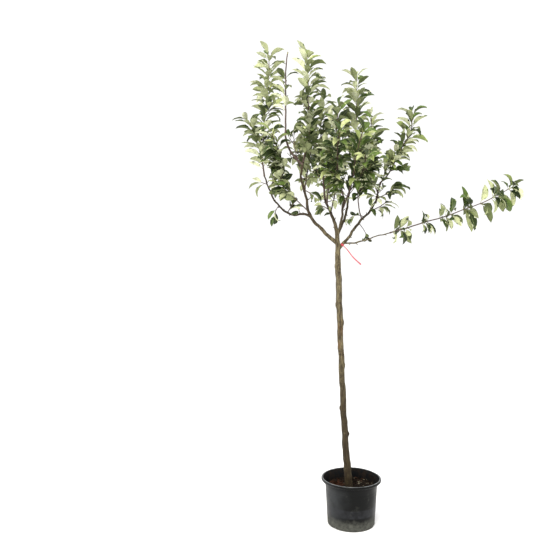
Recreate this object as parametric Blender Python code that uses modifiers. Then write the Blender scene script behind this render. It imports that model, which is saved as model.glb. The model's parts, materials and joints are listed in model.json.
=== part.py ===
"""Dwarf apple tree in a nursery pot: a bare straight stem under a pruned crown of upright leafy shoots.

Metres, +Z up, with the front of the tree towards -Y. The origin is the centre of the pot's flat underside.
Lengths and diameters of the wood are given in millimetres, headings in degrees anticlockwise from +X seen
from above, and rises in degrees above the horizontal, each list running from a limb's foot to its tip.
"""

from dataclasses import dataclass
from math import cos, pi, radians, sin, tau
from typing import NamedTuple

import bmesh
import bpy
import numpy as np
from mathutils import Matrix, Vector

MM = 0.001
GAP = 0.3 * MM

# Pot, by injection moulding, and the mix that fills it
POT_HEIGHT = 190 * MM
POT_RIM_RADIUS = 122.5 * MM
POT_TOP_RADIUS = 107.5 * MM
POT_BASE_RADIUS = 96.0 * MM
POT_WALL = 2.2 * MM
POT_FLOOR = 3.0 * MM
POT_STEPS = 32
RIM_WIDTH = 15.0 * MM
RIM_HEIGHT = 10.0 * MM
STEP_DROP = 32 * MM
STEP_DEPTH = 0.8 * MM
FOOT_CHAMFER = 4 * MM
NOTCH_ANGLES = (-135, -15, 105)
NOTCH_DEPTH = 15 * MM
NOTCH_WIDTH = 22 * MM
NOTCH_HEIGHT = 5 * MM
DRAIN_RADIUS = 5 * MM
DRAIN_CIRCLE = 62 * MM
DRAIN_SIDES = 8
DRAIN_ANGLES = (-90, -45, 45, 90, 150, 180, 0)
MIX_TOP = 146 * MM
MIX_STEPS = 32
MIX_CLEAR = 1.2 * MM

# Wood: a limb's swelling at its foot is a share of its thickness, and dies away over its reach
TUBE_STEPS = 60
TRUNK_FOOT = Vector((-9 * MM, 0, MIX_TOP - 6 * MM))
GROUND_CUT = 80 * MM
COLLAR = 0.18
TIP_LAP = 2.5
STOUT_FOOT = 4.8
TWIG_FOOT = 3.4
TWIG_TIP = 2.0
TWIG_RINGS = 4
TWIG_HELD = 12
TWIG_RISE = (15, 45)
TWIG_LIFT = 28
TWIG_SHORTER = 0.45

# Leaves: widths, keel and fold are shares of a leaf's length, and angles are in degrees
LEAF_WIDTH = 0.44
LEAF_THICK = 0.026
LEAF_WIDEST = 0.56
LEAF_KEEL = 0.42
LEAF_FOLD = 0.32
LEAF_BEND = (0.10, 0.34)
LEAF_PULL = 0.12
LEAF_ROLL = 26
GOLDEN_STEP = 137.5
TIP_SPREAD = 30
SPREAD_STEP = 6
YOUNG_LEAVES = 5
YOUNG_SIZE = 0.62
TWIG_LEAF = 0.94
TWIG_BARE = 0.3
SKYWARD = np.array((0, 0, 0.5))
SIDEWAYS = (0.31, 0.95, 0.02)

# The seeded rule and the space that each mass keeps to
SEED = 25
TRIES = 5
LIMB_CLEAR = 5 * MM
LEAF_CLEAR = 6 * MM
LEAF_NEAR = 90 * MM
SHARE_MARGIN = 4 * MM

# Strap: a strip of plastic film tied round the foot of the right bough
STRAP_PLACE = 29.0
STRAP_WIDTH = 6.5
STRAP_THICK = 1.4
STRAP_SIDES = 12
STRAP_TAIL = 110
STRAP_HEADING = -9
STRAP_RISE = -47
KNOT_RADIUS = 5.5
KNOT_SHAPE = (1, 0.8, 0.8, 1)


@dataclass(frozen=True)
class Limb:
    """One tapering limb that leaves its parent at a place from 0, its foot, to 1, its tip."""

    name: str
    parent: str
    place: float
    length: float
    heading: tuple
    rise: tuple
    foot: float
    tip: float
    rings: int = 9
    beside: tuple = ()


@dataclass(frozen=True)
class Shoot(Limb):
    """A leafy shoot: its stem, the stretch of it that bears leaves, its side twigs and its forks."""

    leafy: tuple = (0.06, 1.0)
    pitch: float = 15
    leaf: float = 92
    droop: float = 0.1
    sides: int = 0
    side_length: float = 0
    forks: tuple = ()


class Leaf(NamedTuple):
    """A leaf's frame: where it roots, its three directions, its length and how far it arches."""

    root: np.ndarray
    ahead: np.ndarray
    across: np.ndarray
    up: np.ndarray
    length: float
    bend: float


TRUNK = Limb("trunk", "", 0, 1057, (180, 180, 180, 180), (85, 87, 88, 88), 31.5, 18, 14)

# The trunk's diameters in millimetres at shares of its length, with its root flare and old swellings
TRUNK_GIRTH = ((0, 31.5), (0.11, 29.0), (0.2, 27.0), (0.36, 24.6), (0.58, 23.4), (0.67, 25.4), (0.86, 24.9),
               (0.94, 20.5), (1.0, 18.0))

BOUGHS = (
    Limb("left_bough", "trunk", 0.955, 380, (-168, -166, -143, -136, -16), (38, 42, 73, 73, 80), 16, 9, 12),
    Limb("low_left_bough", "left_bough", 0.40, 310, (151, 167, 163, 157, 153, 139),
         (40, -15, 39, 55, 60, 71), 10, 7),
    Limb("mid_left_bough", "trunk", 1.0, 150, (144, 150, 153), (71, 66, 64), 15, 11, 6),
    Limb("mid_right_front_bough", "trunk", 0.985, 160, (-53, -68, -65), (62, 66, 66), 12, 9, 6,
         ("mid_left_bough",)),
    Limb("mid_right_back_bough", "trunk", 0.985, 280, (49, 26, 91, 47, 22), (66, 58, 77, 67, 51), 12, 7, 10,
         ("mid_left_bough", "mid_right_front_bough")),
    Limb("right_bough", "trunk", 0.93, 330, (7, 10, 7, 12, 28), (44, 58, 43, 67, 81), 13, 8),
    Limb("low_right_bough", "right_bough", 0.105, 195, (-20, -6, -10, -8), (-4, 16, 14, 18), 7, 5),
)

OUTER_LEFT_FORK = Limb("fork", "outer_left_leader", 0.12, 185, (-136, -142, -165), (72, 72, 52), 4, 2.6, 4)

SHOOTS = (
    # Leaders that make the outline
    Shoot("inner_left_leader", "left_bough", 1.0, 410, (-8, -12, 39, 0), (76, 87, 93, 92), 8, 3,
          pitch=19, sides=4, side_length=80),
    Shoot("bare_leader", "left_bough", 0.965, 485, (171, 170, 65, 109, 80, 37),
          (34, 68, 88, 82, 85, 80), 6, 3.4, leafy=(0.15, 0.7), pitch=26, leaf=76),
    Shoot("outer_left_leader", "low_left_bough", 1.0, 510, (185, 23, 47, -51), (81, 86, 82, 93), 7, 3,
          pitch=19, sides=4, side_length=80, forks=(OUTER_LEFT_FORK,)),
    Shoot("centre_left_leader", "mid_left_bough", 1.0, 435, (124, 110, 49), (78, 81, 79), 8, 3,
          pitch=20, sides=4, side_length=95),
    Shoot("centre_leader", "mid_left_bough", 0.83, 400, (-80, -66, -84), (67, 63, 64), 7, 3,
          pitch=21, sides=5, side_length=110),
    Shoot("back_right_leader", "mid_right_back_bough", 1.0, 420, (89, 93, 92), (84, 85, 85), 6.5, 3,
          pitch=20, sides=4, side_length=80),
    Shoot("outer_right_leader", "right_bough", 1.0, 305, (-12, -29, -14, -136), (41, 66, 53, 95), 6, 3,
          leafy=(0.4, 1.0), pitch=15, sides=3, side_length=60),
    Shoot("inner_right_shoot", "right_bough", 0.87, 305, (-146, -99, -80), (59, 80, 73), 5, 3,
          pitch=20, sides=4, side_length=80),
    Shoot("low_right_shoot", "low_right_bough", 1.0, 490, (-6, -6, -7, -8), (17, 16, 21, 31), 5, 2.8,
          leafy=(0.03, 1.0), pitch=20, leaf=74, droop=0.3, sides=5, side_length=36),
    # Shoots that fill the front of the crown
    Shoot("left_front_shoot", "low_left_bough", 0.70, 290, (-30, -62, -120, -114), (36, 57, 56, 50), 5, 3,
          leafy=(0.12, 1.0), pitch=20, sides=4, side_length=75),
    Shoot("front_left_shoot", "mid_right_front_bough", 1.0, 320, (-115, -91, -80), (45, 47, 42), 7, 3,
          pitch=21, sides=6, side_length=130, droop=0.2),
    Shoot("front_right_shoot", "mid_right_front_bough", 0.70, 340, (-45, -77, -67), (58, 56, 50), 6, 3,
          leafy=(0.12, 1.0), pitch=21, sides=5, side_length=120, droop=0.2),
    Shoot("right_front_shoot", "right_bough", 0.48, 350, (-104, -98, -68, -90), (39, 45, 40, 41), 5, 3,
          leafy=(0.14, 1.0), pitch=21, sides=5, side_length=100, droop=0.3),
    # Shoots that fill the back of the crown
    Shoot("back_left_shoot", "left_bough", 0.66, 370, (95, 82, 96), (34, 46, 60), 6, 3,
          leafy=(0.2, 1.0), pitch=21, sides=5, side_length=110),
    Shoot("back_centre_shoot", "mid_left_bough", 0.60, 400, (78, 92, 96), (34, 48, 58), 6, 3,
          leafy=(0.2, 1.0), pitch=21, sides=6, side_length=120),
    Shoot("back_right_shoot", "mid_right_back_bough", 0.72, 340, (66, 72, 78), (28, 44, 58), 6, 3,
          leafy=(0.15, 1.0), pitch=21, sides=5, side_length=110),
    # Spurs and short shoots on the old wood
    Shoot("left_side_shoot", "left_bough", 0.47, 165, (184, 176, 160), (42, 50, 30), 4.5, 2.8,
          leafy=(0.4, 1.0), pitch=13, leaf=76, droop=0.35, sides=2, side_length=45),
    Shoot("low_left_spur", "low_left_bough", 0.36, 55, (30, -10), (62, 50), 4, 2.8,
          leafy=(0.25, 1.0), pitch=9, leaf=72, droop=0.1),
    Shoot("low_left_hanging_spur", "low_left_bough", 0.52, 50, (-150, -160), (-42, -60), 3.6, 2.4,
          leafy=(0.4, 1.0), pitch=14, leaf=58, droop=0.9),
    Shoot("left_inner_spur", "left_bough", 0.70, 48, (-5, -15), (-22, -42), 4, 2.6,
          leafy=(0.4, 1.0), pitch=10, leaf=64, droop=0.5),
    Shoot("mid_left_spur", "mid_left_bough", 0.62, 40, (170, 165), (40, 30), 4, 2.6,
          leafy=(0.4, 1.0), pitch=8, leaf=64, droop=0.4),
    Shoot("right_side_spur", "right_bough", 0.62, 52, (-10, 10), (22, 34), 4, 2.6,
          leafy=(0.35, 1.0), pitch=9, leaf=76, droop=0.2),
    Shoot("right_low_spur", "right_bough", 0.42, 66, (-30, -10), (-46, -70), 3.2, 2.2,
          leafy=(0.7, 1.0), pitch=12, leaf=42, droop=0.6),
)


def clear_scene():
    """Take the starting objects out of the file."""
    for obj in list(bpy.data.objects):
        bpy.data.objects.remove(obj)


def new_collection(name):
    collection = bpy.data.collections.new(name)
    bpy.context.scene.collection.children.link(collection)
    return collection


def new_material(name, colour, roughness, metallic=0.0):
    """A Principled BSDF material with the part's own colour."""
    material = bpy.data.materials.new(name)
    material.use_nodes = True
    shader = material.node_tree.nodes["Principled BSDF"]
    shader.inputs["Base Color"].default_value = (*colour, 1.0)
    shader.inputs["Roughness"].default_value = roughness
    shader.inputs["Metallic"].default_value = metallic
    return material


def mesh_object(name, mesh, collection, material=None):
    obj = bpy.data.objects.new(name, mesh)
    collection.objects.link(obj)
    if material:
        mesh.materials.append(material)
    return obj


def make_cutter(obj, cutters):
    """Keep an object in the file as a guide that cuts others and is never rendered."""
    for collection in list(obj.users_collection):
        collection.objects.unlink(obj)
    cutters.objects.link(obj)
    obj.hide_render = True
    obj.display_type = "WIRE"
    return obj


def settle(obj):
    """Apply an object's modifiers to its mesh, with its caps and seams welded."""
    graph = bpy.context.evaluated_depsgraph_get()
    mesh = bpy.data.meshes.new_from_object(obj.evaluated_get(graph))
    obj.modifiers.clear()
    obj.data = mesh
    return obj


def subtract(obj, cutter, solver="EXACT"):
    modifier = obj.modifiers.new("clear_of_" + cutter.name, "BOOLEAN")
    modifier.operation = "DIFFERENCE"
    modifier.solver = solver
    modifier.object = cutter
    return modifier


def limb_points(start, limb):
    """Points along a limb, by walking it in short steps, with heading and rise running evenly along it."""
    steps = (np.arange(TUBE_STEPS) + 0.5) / TUBE_STEPS
    heading = np.radians(np.interp(steps, np.linspace(0, 1, len(limb.heading)), limb.heading))
    rise = np.radians(np.interp(steps, np.linspace(0, 1, len(limb.rise)), limb.rise))
    flat = np.cos(rise)
    way = np.stack([flat * np.cos(heading), flat * np.sin(heading), np.sin(rise)], axis=1)
    step = limb.length * MM / TUBE_STEPS
    return np.vstack([start, start + np.cumsum(way * step, axis=0)])


def limb_radii(limb):
    """Radii along a limb: the trunk's own, and for the others an even taper from a swollen collar."""
    along = np.linspace(0, 1, TUBE_STEPS + 1)
    if limb.name == "trunk":
        return np.interp(along, *zip(*TRUNK_GIRTH)) * MM / 2
    collar = 1 + COLLAR * np.exp(-along * limb.length / limb.foot)
    return (limb.foot + (limb.tip - limb.foot) * along) * collar * MM / 2


def place_on(points, place):
    """The point at a share of the way along a limb's points."""
    at = place * TUBE_STEPS
    low = int(min(at, TUBE_STEPS - 1))
    return points[low] + (points[low + 1] - points[low]) * (at - low)


def triangle_profile():
    """A three-sided ring, the section of a twig, that a curve is bevelled with."""
    curve = bpy.data.curves.new("twig_section", "CURVE")
    curve.dimensions = "2D"
    spline = curve.splines.new("POLY")
    spline.points.add(2)
    for i, point in enumerate(spline.points):
        turn = -tau * i / 3
        point.co = (cos(turn), sin(turn), 0, 1)
    spline.use_cyclic_u = True
    return bpy.data.objects.new("twig_section", curve)


def tube(name, points, radii, sides, collection, material=None):
    """A closed tapering tube through the points, made as a bevelled curve and kept as a welded mesh."""
    curve = bpy.data.curves.new(name, "CURVE")
    curve.dimensions = "3D"
    curve.use_fill_caps = True
    section = None
    if sides == 3:
        section = triangle_profile()
        curve.bevel_mode = "OBJECT"
        curve.bevel_object = section
    else:
        curve.bevel_depth = 1.0
        curve.bevel_resolution = sides // 2 - 2
    spline = curve.splines.new("POLY")
    spline.points.add(len(points) - 1)
    for point, place, radius in zip(spline.points, points, radii):
        point.co = (*place, 1)
        point.radius = radius
    guide = bpy.data.objects.new(name, curve)
    collection.objects.link(guide)
    graph = bpy.context.evaluated_depsgraph_get()
    mesh = bpy.data.meshes.new_from_object(guide.evaluated_get(graph))
    bm = bmesh.new()
    bm.from_mesh(mesh)
    bmesh.ops.remove_doubles(bm, verts=bm.verts, dist=0.01 * MM)
    bmesh.ops.recalc_face_normals(bm, faces=bm.faces)
    bm.to_mesh(mesh)
    bm.free()
    bpy.data.objects.remove(guide)
    if section:
        bpy.data.objects.remove(section)
    return mesh_object(name, mesh, collection, material)


def ring_picks(rings):
    """Which of a limb's points carry a ring of the solid."""
    return np.unique(np.round(np.linspace(0, TUBE_STEPS, rings + 1)).astype(int))


def clearance(limb, points, radii, sides, cutters):
    """A limb made fatter and longer by the gap, which cuts its neighbours clear of it."""
    picks = ring_picks(limb.rings)
    rings = points[picks]
    first = rings[0] - (rings[1] - rings[0]) / np.linalg.norm(rings[1] - rings[0]) * GAP
    last = rings[-1] + (rings[-1] - rings[-2]) / np.linalg.norm(rings[-1] - rings[-2]) * GAP
    rings = np.vstack([first, rings[1:-1], last])
    fat = radii[picks] + GAP / cos(pi / sides)
    return make_cutter(tube(limb.name + "_clearance", rings, fat, sides, cutters), cutters)


def sides_of(limb):
    if limb is TRUNK:
        return 12
    if limb in BOUGHS:
        return 8
    return 4 if limb.foot > STOUT_FOOT else 3


def pot_profile():
    """The pot's section: up the inside from its floor, over the rolled rim and down to the underside."""
    step_z = POT_HEIGHT - STEP_DROP
    slope = (POT_TOP_RADIUS - POT_BASE_RADIUS) / POT_HEIGHT
    rim_x = POT_RIM_RADIUS - RIM_WIDTH / 2
    rim_z = POT_HEIGHT - RIM_HEIGHT / 2

    def wall(z):
        return POT_BASE_RADIUS + slope * z

    turns = [radians(degrees) for degrees in (150, 95, 45, 0, -45, -90)]
    roll = [(rim_x + RIM_WIDTH / 2 * cos(turn), rim_z + RIM_HEIGHT / 2 * sin(turn)) for turn in turns]
    return [
        (0, POT_FLOOR),
        (wall(POT_FLOOR) - POT_WALL - FOOT_CHAMFER, POT_FLOOR),
        (wall(POT_FLOOR) - POT_WALL, POT_FLOOR + FOOT_CHAMFER),
        (wall(step_z) - POT_WALL - STEP_DEPTH, step_z),
        (wall(rim_z) - POT_WALL, rim_z),
        *roll,
        (wall(POT_HEIGHT - RIM_HEIGHT), POT_HEIGHT - RIM_HEIGHT),
        (wall(step_z + 2 * MM), step_z + 2 * MM),
        (wall(step_z) - STEP_DEPTH, step_z),
        (wall(FOOT_CHAMFER), FOOT_CHAMFER),
        (wall(0) - FOOT_CHAMFER / 2, 0),
        (0, 0),
    ]


def turned(name, profile, steps, collection, material=None):
    """A solid turned round Z from a profile that runs down its outer side."""
    mesh = bpy.data.meshes.new(name)
    mesh.from_pydata([(x, 0, z) for x, z in profile], [(i, i + 1) for i in range(len(profile) - 1)], [])
    obj = mesh_object(name, mesh, collection, material)
    screw = obj.modifiers.new("turn", "SCREW")
    screw.steps = steps
    screw.render_steps = steps
    screw.use_merge_vertices = True
    screw.merge_threshold = 0.01 * MM
    screw.use_smooth_shade = True
    return obj


def box(name, size, collection):
    bpy.ops.mesh.primitive_cube_add(size=1)
    obj = bpy.context.active_object
    obj.name = name
    obj.data.transform(Matrix.Diagonal((*size, 1)))
    for owner in list(obj.users_collection):
        owner.objects.unlink(obj)
    collection.objects.link(obj)
    return obj


def build_pot(parts, cutters, plastic):
    """The pot, with three drainage notches round its foot and a ring of holes through its floor."""
    pot = turned("pot", pot_profile(), POT_STEPS, parts, plastic)
    for i, degrees in enumerate(NOTCH_ANGLES):
        turn = Matrix.Rotation(radians(degrees), 4, "Z")
        notch = box(f"notch_{i}", (2 * NOTCH_DEPTH, NOTCH_WIDTH, 2 * NOTCH_HEIGHT), cutters)
        notch.data.transform(turn @ Matrix.Translation((POT_BASE_RADIUS, 0, 0)))
        subtract(pot, make_cutter(notch, cutters))
    for i, degrees in enumerate(DRAIN_ANGLES):
        bpy.ops.mesh.primitive_cylinder_add(vertices=DRAIN_SIDES, radius=DRAIN_RADIUS, depth=4 * POT_FLOOR)
        hole = bpy.context.active_object
        hole.name = f"drain_{i}"
        turn = Matrix.Rotation(radians(degrees), 4, "Z")
        hole.data.transform(turn @ Matrix.Translation((DRAIN_CIRCLE, 0, 0)))
        subtract(pot, make_cutter(hole, cutters))
    return pot


def build_mix(parts, earth):
    """The potting mix, standing on the floor and clear of the wall by the gap."""
    slope = (POT_TOP_RADIUS - POT_BASE_RADIUS) / POT_HEIGHT
    inset = POT_WALL + STEP_DEPTH + MIX_CLEAR
    foot = POT_FLOOR + GAP
    profile = [
        (0, MIX_TOP),
        (POT_BASE_RADIUS + slope * MIX_TOP - inset, MIX_TOP),
        (POT_BASE_RADIUS + slope * 2 * FOOT_CHAMFER - inset, 2 * FOOT_CHAMFER),
        (POT_BASE_RADIUS - inset - FOOT_CHAMFER, foot),
        (0, foot),
    ]
    return turned("potting_mix", profile, MIX_STEPS, parts, earth)


def walk_limbs():
    """Points and radii of every limb and shoot stem, by name, each starting on its parent's axis."""
    walked = {}
    for limb in (TRUNK, *BOUGHS, *SHOOTS):
        start = np.array(TRUNK_FOOT) if not limb.parent else place_on(walked[limb.parent][0], limb.place)
        if limb.place == 1.0:
            start = place_on(walked[limb.parent][0], 1 - TIP_LAP / length_of(limb.parent))
        walked[limb.name] = (limb_points(start, limb), limb_radii(limb))
    return walked


def length_of(name):
    return next(limb.length for limb in (TRUNK, *BOUGHS) if limb.name == name)


def ground_cut(cutters):
    """A block with its top just over the mix's surface, which gives the trunk its flat cut there."""
    block = box("ground_cut", (GROUND_CUT, GROUND_CUT, GROUND_CUT), cutters)
    block.data.transform(Matrix.Translation((TRUNK_FOOT.x, 0, MIX_TOP + GAP - GROUND_CUT / 2)))
    return make_cutter(block, cutters)


def build_limb(limb, walked, parts, cutters, material):
    """One limb, cut clear of its parent and of the limbs beside it."""
    points, radii = walked[limb.name]
    picks = ring_picks(limb.rings)
    obj = tube(limb.name, points[picks], radii[picks], sides_of(limb), parts, material)
    for name in (limb.parent, *limb.beside):
        if name:
            subtract(obj, bpy.data.objects[name + "_clearance"], "MANIFOLD" if limb.beside else "EXACT")
    if limb is TRUNK:
        subtract(obj, ground_cut(cutters))
    settle(obj)
    if limb is TRUNK or limb in BOUGHS:
        clearance(limb, points, radii, sides_of(limb), cutters)
    return obj


def leaf_template():
    """An eight-faced leaf: a ball of four segments and two rings, with its corners moved to the leaf's."""
    bm = bmesh.new()
    bmesh.ops.create_uvsphere(bm, u_segments=4, v_segments=2, radius=1)
    corners = np.array([v.co for v in bm.verts])
    faces = [[v.index for v in face.verts] for face in bm.faces]
    bm.free()
    return corners, faces


def leaf_corners(corners, leaf):
    """The ball's six corners as root, tip, two edges, and the top and bottom of the keel."""
    moved = []
    for x, y, z in corners:
        share = 0.0 if x < -0.5 else 1.0 if x > 0.5 else LEAF_WIDEST if abs(y) > 0.5 else LEAF_KEEL
        side = y * LEAF_WIDTH / 2 * leaf.length if abs(y) > 0.5 else 0
        lift = z * LEAF_THICK / 2 * leaf.length if abs(z) > 0.5 else abs(side) * LEAF_FOLD
        moved.append(leaf_point(leaf, share, side, lift))
    return moved


def leaf_point(leaf, share, side, lift):
    """A point of a leaf at a share of its length: it arches away from its upper face towards its tip."""
    forward = leaf.length * share * (1 - LEAF_PULL * leaf.bend * share)
    fall = leaf.bend * leaf.length * share**2
    return leaf.root + leaf.ahead * forward + leaf.across * side + leaf.up * (lift - fall)


def leaf_samples(leaf):
    """Points spread over a leaf, which have to lie in the shoot's own space and clear of every limb."""
    found = []
    for share in np.linspace(0.2, 1.0, 9):
        half = LEAF_WIDTH / 2 * leaf.length * min(share / LEAF_WIDEST, (1 - share) / (1 - LEAF_WIDEST))
        for side in (-half, -half / 2, 0, half / 2, half):
            found.append(leaf_point(leaf, share, side, abs(side) * LEAF_FOLD))
    return np.array(found)


def unit(vector):
    return vector / np.linalg.norm(vector)


def leaf_at(at, way, turn, spread, length, droop, rng):
    """A leaf that roots at a point of a twig and leaves it at a turn round it and a spread from its way."""
    east = unit(np.cross(way, SIDEWAYS))
    north = np.cross(way, east)
    out = east * cos(radians(turn)) + north * sin(radians(turn))
    sag = np.array((0, 0, droop * rng.uniform(0.4, 1.3)))
    ahead = unit(way * cos(spread) + out * sin(spread) - sag)
    over = way + SKYWARD
    up = unit(over - ahead * np.dot(over, ahead))
    across = np.cross(up, ahead)
    roll = radians(rng.uniform(-LEAF_ROLL, LEAF_ROLL))
    across, up = across * cos(roll) + up * sin(roll), up * cos(roll) - across * sin(roll)
    return Leaf(at, ahead, across, up, length, rng.uniform(*LEAF_BEND))


def apart(blade, blades):
    """Whether a leaf keeps clear of the leaves that grew before it."""
    if not blades:
        return True
    grown = np.vstack(blades)
    near = grown[np.linalg.norm(grown - blade[len(blade) // 2], axis=1) < LEAF_NEAR]
    if not len(near):
        return True
    return np.linalg.norm(blade[:, None] - near[None], axis=2).min() > LEAF_CLEAR


def leaves_along(points, first, last, pitch, size, droop, fits, blades, rng):
    """Leaves up a twig, each a golden step round it from the last, shorter and closer to it towards its tip.

    A leaf that doesn't fit is turned on by another step, and after a few tries it is left out.
    """
    along = np.concatenate([[0], np.cumsum(np.linalg.norm(np.diff(points, axis=0), axis=1))])
    end = last * along[-1] - 1 * MM
    spots = [*np.arange(first * along[-1], end - pitch * MM / 2, pitch * MM), end]
    turn = rng.uniform(0, 360)
    leaves = []
    for i, spot in enumerate(spots):
        from_tip = len(spots) - 1 - i if last == 1.0 else YOUNG_LEAVES
        young = min(1.0, YOUNG_SIZE + (1 - YOUNG_SIZE) * from_tip / YOUNG_LEAVES)
        k = min(np.searchsorted(along, spot, side="right"), len(points) - 1)
        at = np.array([np.interp(spot, along, points[:, axis]) for axis in range(3)])
        way = unit(points[k] - points[k - 1])
        for _ in range(TRIES):
            turn += GOLDEN_STEP + rng.uniform(-14, 14)
            opened = TIP_SPREAD + SPREAD_STEP * min(from_tip, YOUNG_LEAVES)
            spread = radians(opened * rng.uniform(0.8, 1.15))
            length = size * MM * young * rng.uniform(0.86, 1.08)
            leaf = leaf_at(at, way, turn, spread, length, droop, rng)
            blade = leaf_samples(leaf)
            if fits(blade) and apart(blade, blades):
                leaves.append(leaf)
                blades.append(blade)
                break
    return leaves


def side_twigs(shoot, points, fits, rng):
    """Side twigs of a shoot, round it by golden steps, longest low down, each turning up towards its tip."""
    twigs = []
    turn = rng.uniform(0, 360)
    for i in range(shoot.sides):
        share = shoot.leafy[0] + (0.8 - shoot.leafy[0]) * (i + 0.4) / shoot.sides
        for _ in range(TRIES):
            turn += GOLDEN_STEP + rng.uniform(-20, 20)
            length = shoot.side_length * (1 - TWIG_SHORTER * i / shoot.sides) * rng.uniform(0.7, 1.12)
            rise = rng.uniform(*TWIG_RISE)
            limb = Limb("twig", shoot.name, share, length, (turn, turn + rng.uniform(-20, 20)),
                        (rise, rise + TWIG_LIFT), TWIG_FOOT, TWIG_TIP, TWIG_RINGS)
            path = limb_points(place_on(points, share), limb)
            if fits(path[TWIG_HELD:]):
                twigs.append((limb, path))
                break
    return twigs


class Space:
    """Where each shoot may grow: nearer its own stem than any other's, and clear of every limb."""

    def __init__(self, walked):
        self.stems = {shoot.name: walked[shoot.name][0] for shoot in SHOOTS}
        limbs = [walked[limb.name] for limb in (TRUNK, *BOUGHS)]
        self.wood = np.vstack([points for points, _ in limbs])
        self.reach = np.concatenate([radii for _, radii in limbs]) + LIMB_CLEAR

    def holds(self, name, samples):
        """Whether a shoot may reach all of these points."""

        def nearest(cloud):
            return np.linalg.norm(samples[:, None] - cloud[None], axis=2).min(axis=1)

        own = nearest(self.stems[name])
        others = nearest(np.vstack([points for other, points in self.stems.items() if other != name]))
        wood = np.linalg.norm(samples[:, None] - self.wood[None], axis=2)
        return (others > own + SHARE_MARGIN).all() and (wood > self.reach).all()


def grow(shoot, walked, space, rng):
    """A shoot's twigs and leaves by the seeded rule, leaving out what its space doesn't hold."""
    points = walked[shoot.name][0]

    def fits(samples):
        return space.holds(shoot.name, samples)

    forks = [(fork, limb_points(place_on(points, fork.place), fork)) for fork in shoot.forks]
    twigs = forks + side_twigs(shoot, points, fits, rng)
    blades = []
    leaves = leaves_along(points, *shoot.leafy, shoot.pitch, shoot.leaf, shoot.droop, fits, blades, rng)
    for _, path in twigs:
        leaves += leaves_along(path, TWIG_BARE, 1.0, shoot.pitch, shoot.leaf * TWIG_LEAF, shoot.droop,
                               fits, blades, rng)
    return twigs, leaves


def keep_largest(mesh):
    """Drop the scraps and fill the sealed hollows that a union leaves, keeping the one outer body."""
    bm = bmesh.new()
    bm.from_mesh(mesh)
    left = set(bm.verts)
    bodies = []
    while left:
        body = {left.pop()}
        edge = set(body)
        while edge:
            edge = {e.other_vert(v) for v in edge for e in v.link_edges} - body
            body |= edge
        left -= body
        bodies.append(body)
    largest = max(bodies, key=len)
    bmesh.ops.delete(bm, geom=[v for v in bm.verts if v not in largest], context="VERTS")
    bm.to_mesh(mesh)
    bm.free()
    return len(bodies)


def build_shoot(shoot, walked, space, template, parts, cutters, material, rng):
    """One mass of foliage: the stem cut clear of its bough, with its twigs and leaves joined to it."""
    obj = build_limb(shoot, walked, parts, cutters, material)
    twigs, leaves = grow(shoot, walked, space, rng)
    joined = new_collection(shoot.name + "_joined")
    for limb, path in twigs:
        picks = ring_picks(limb.rings)
        tube("twig", path[picks], limb_radii(limb)[picks], 3, joined)
    corners, faces = template
    for leaf in leaves:
        mesh = bpy.data.meshes.new("leaf")
        mesh.from_pydata(leaf_corners(corners, leaf), [], faces)
        mesh_object("leaf", mesh, joined)
    union = obj.modifiers.new("leaves_and_twigs", "BOOLEAN")
    union.operation = "UNION"
    union.operand_type = "COLLECTION"
    union.solver = "MANIFOLD"
    union.collection = joined
    settle(obj)
    for other in list(joined.objects):
        bpy.data.objects.remove(other)
    bpy.data.collections.remove(joined)
    bodies = keep_largest(obj.data)
    print(shoot.name, len(twigs), "twigs", len(leaves), "leaves", bodies, "bodies")
    return obj


def build_strap(walked, parts, cutters, plastic):
    """The strap: a band round the right bough's foot, its knot, and the long flat tail that hangs from it."""
    points, radii = walked["right_bough"]
    share = STRAP_PLACE / length_of("right_bough")
    centre = Vector(place_on(points, share))
    way = Vector(place_on(points, share + 0.02)) - centre
    inner = radii[round(share * TUBE_STEPS)] + 2 * GAP
    outer = inner + STRAP_THICK * MM
    half = STRAP_WIDTH * MM / 2
    band = turned("red_strap", [(inner, half), (outer, half), (outer, -half), (inner, -half), (inner, half)],
                  STRAP_SIDES, parts, plastic)
    settle(band)
    aim = way.to_track_quat("Z", "Y").to_matrix().to_4x4()
    band.data.transform(Matrix.Translation(centre) @ aim)
    heading, rise = radians(STRAP_HEADING), radians(STRAP_RISE)
    along = Vector((cos(rise) * cos(heading), cos(rise) * sin(heading), sin(rise)))
    knot_at = centre + Vector((0, -outer - KNOT_RADIUS * MM / 3, -KNOT_RADIUS * MM / 3))
    bpy.ops.mesh.primitive_uv_sphere_add(segments=8, ring_count=5, radius=KNOT_RADIUS * MM)
    knot = bpy.context.active_object
    knot.data.transform(Matrix.Translation(knot_at) @ Matrix.Diagonal(KNOT_SHAPE))
    tail = box("tail", (STRAP_TAIL * MM, STRAP_THICK * MM, STRAP_WIDTH * MM), cutters)
    turn = along.to_track_quat("X", "Z").to_matrix().to_4x4()
    tail.data.transform(Matrix.Translation(knot_at + along * STRAP_TAIL * MM / 2) @ turn)
    for piece in (knot, tail):
        join = band.modifiers.new("join", "BOOLEAN")
        join.operation = "UNION"
        join.solver = "EXACT"
        join.object = piece
    for name in ("right_bough", "low_right_bough"):
        subtract(band, bpy.data.objects[name + "_clearance"])
    settle(band)
    bpy.data.objects.remove(knot)
    bpy.data.objects.remove(tail)
    return band


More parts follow.
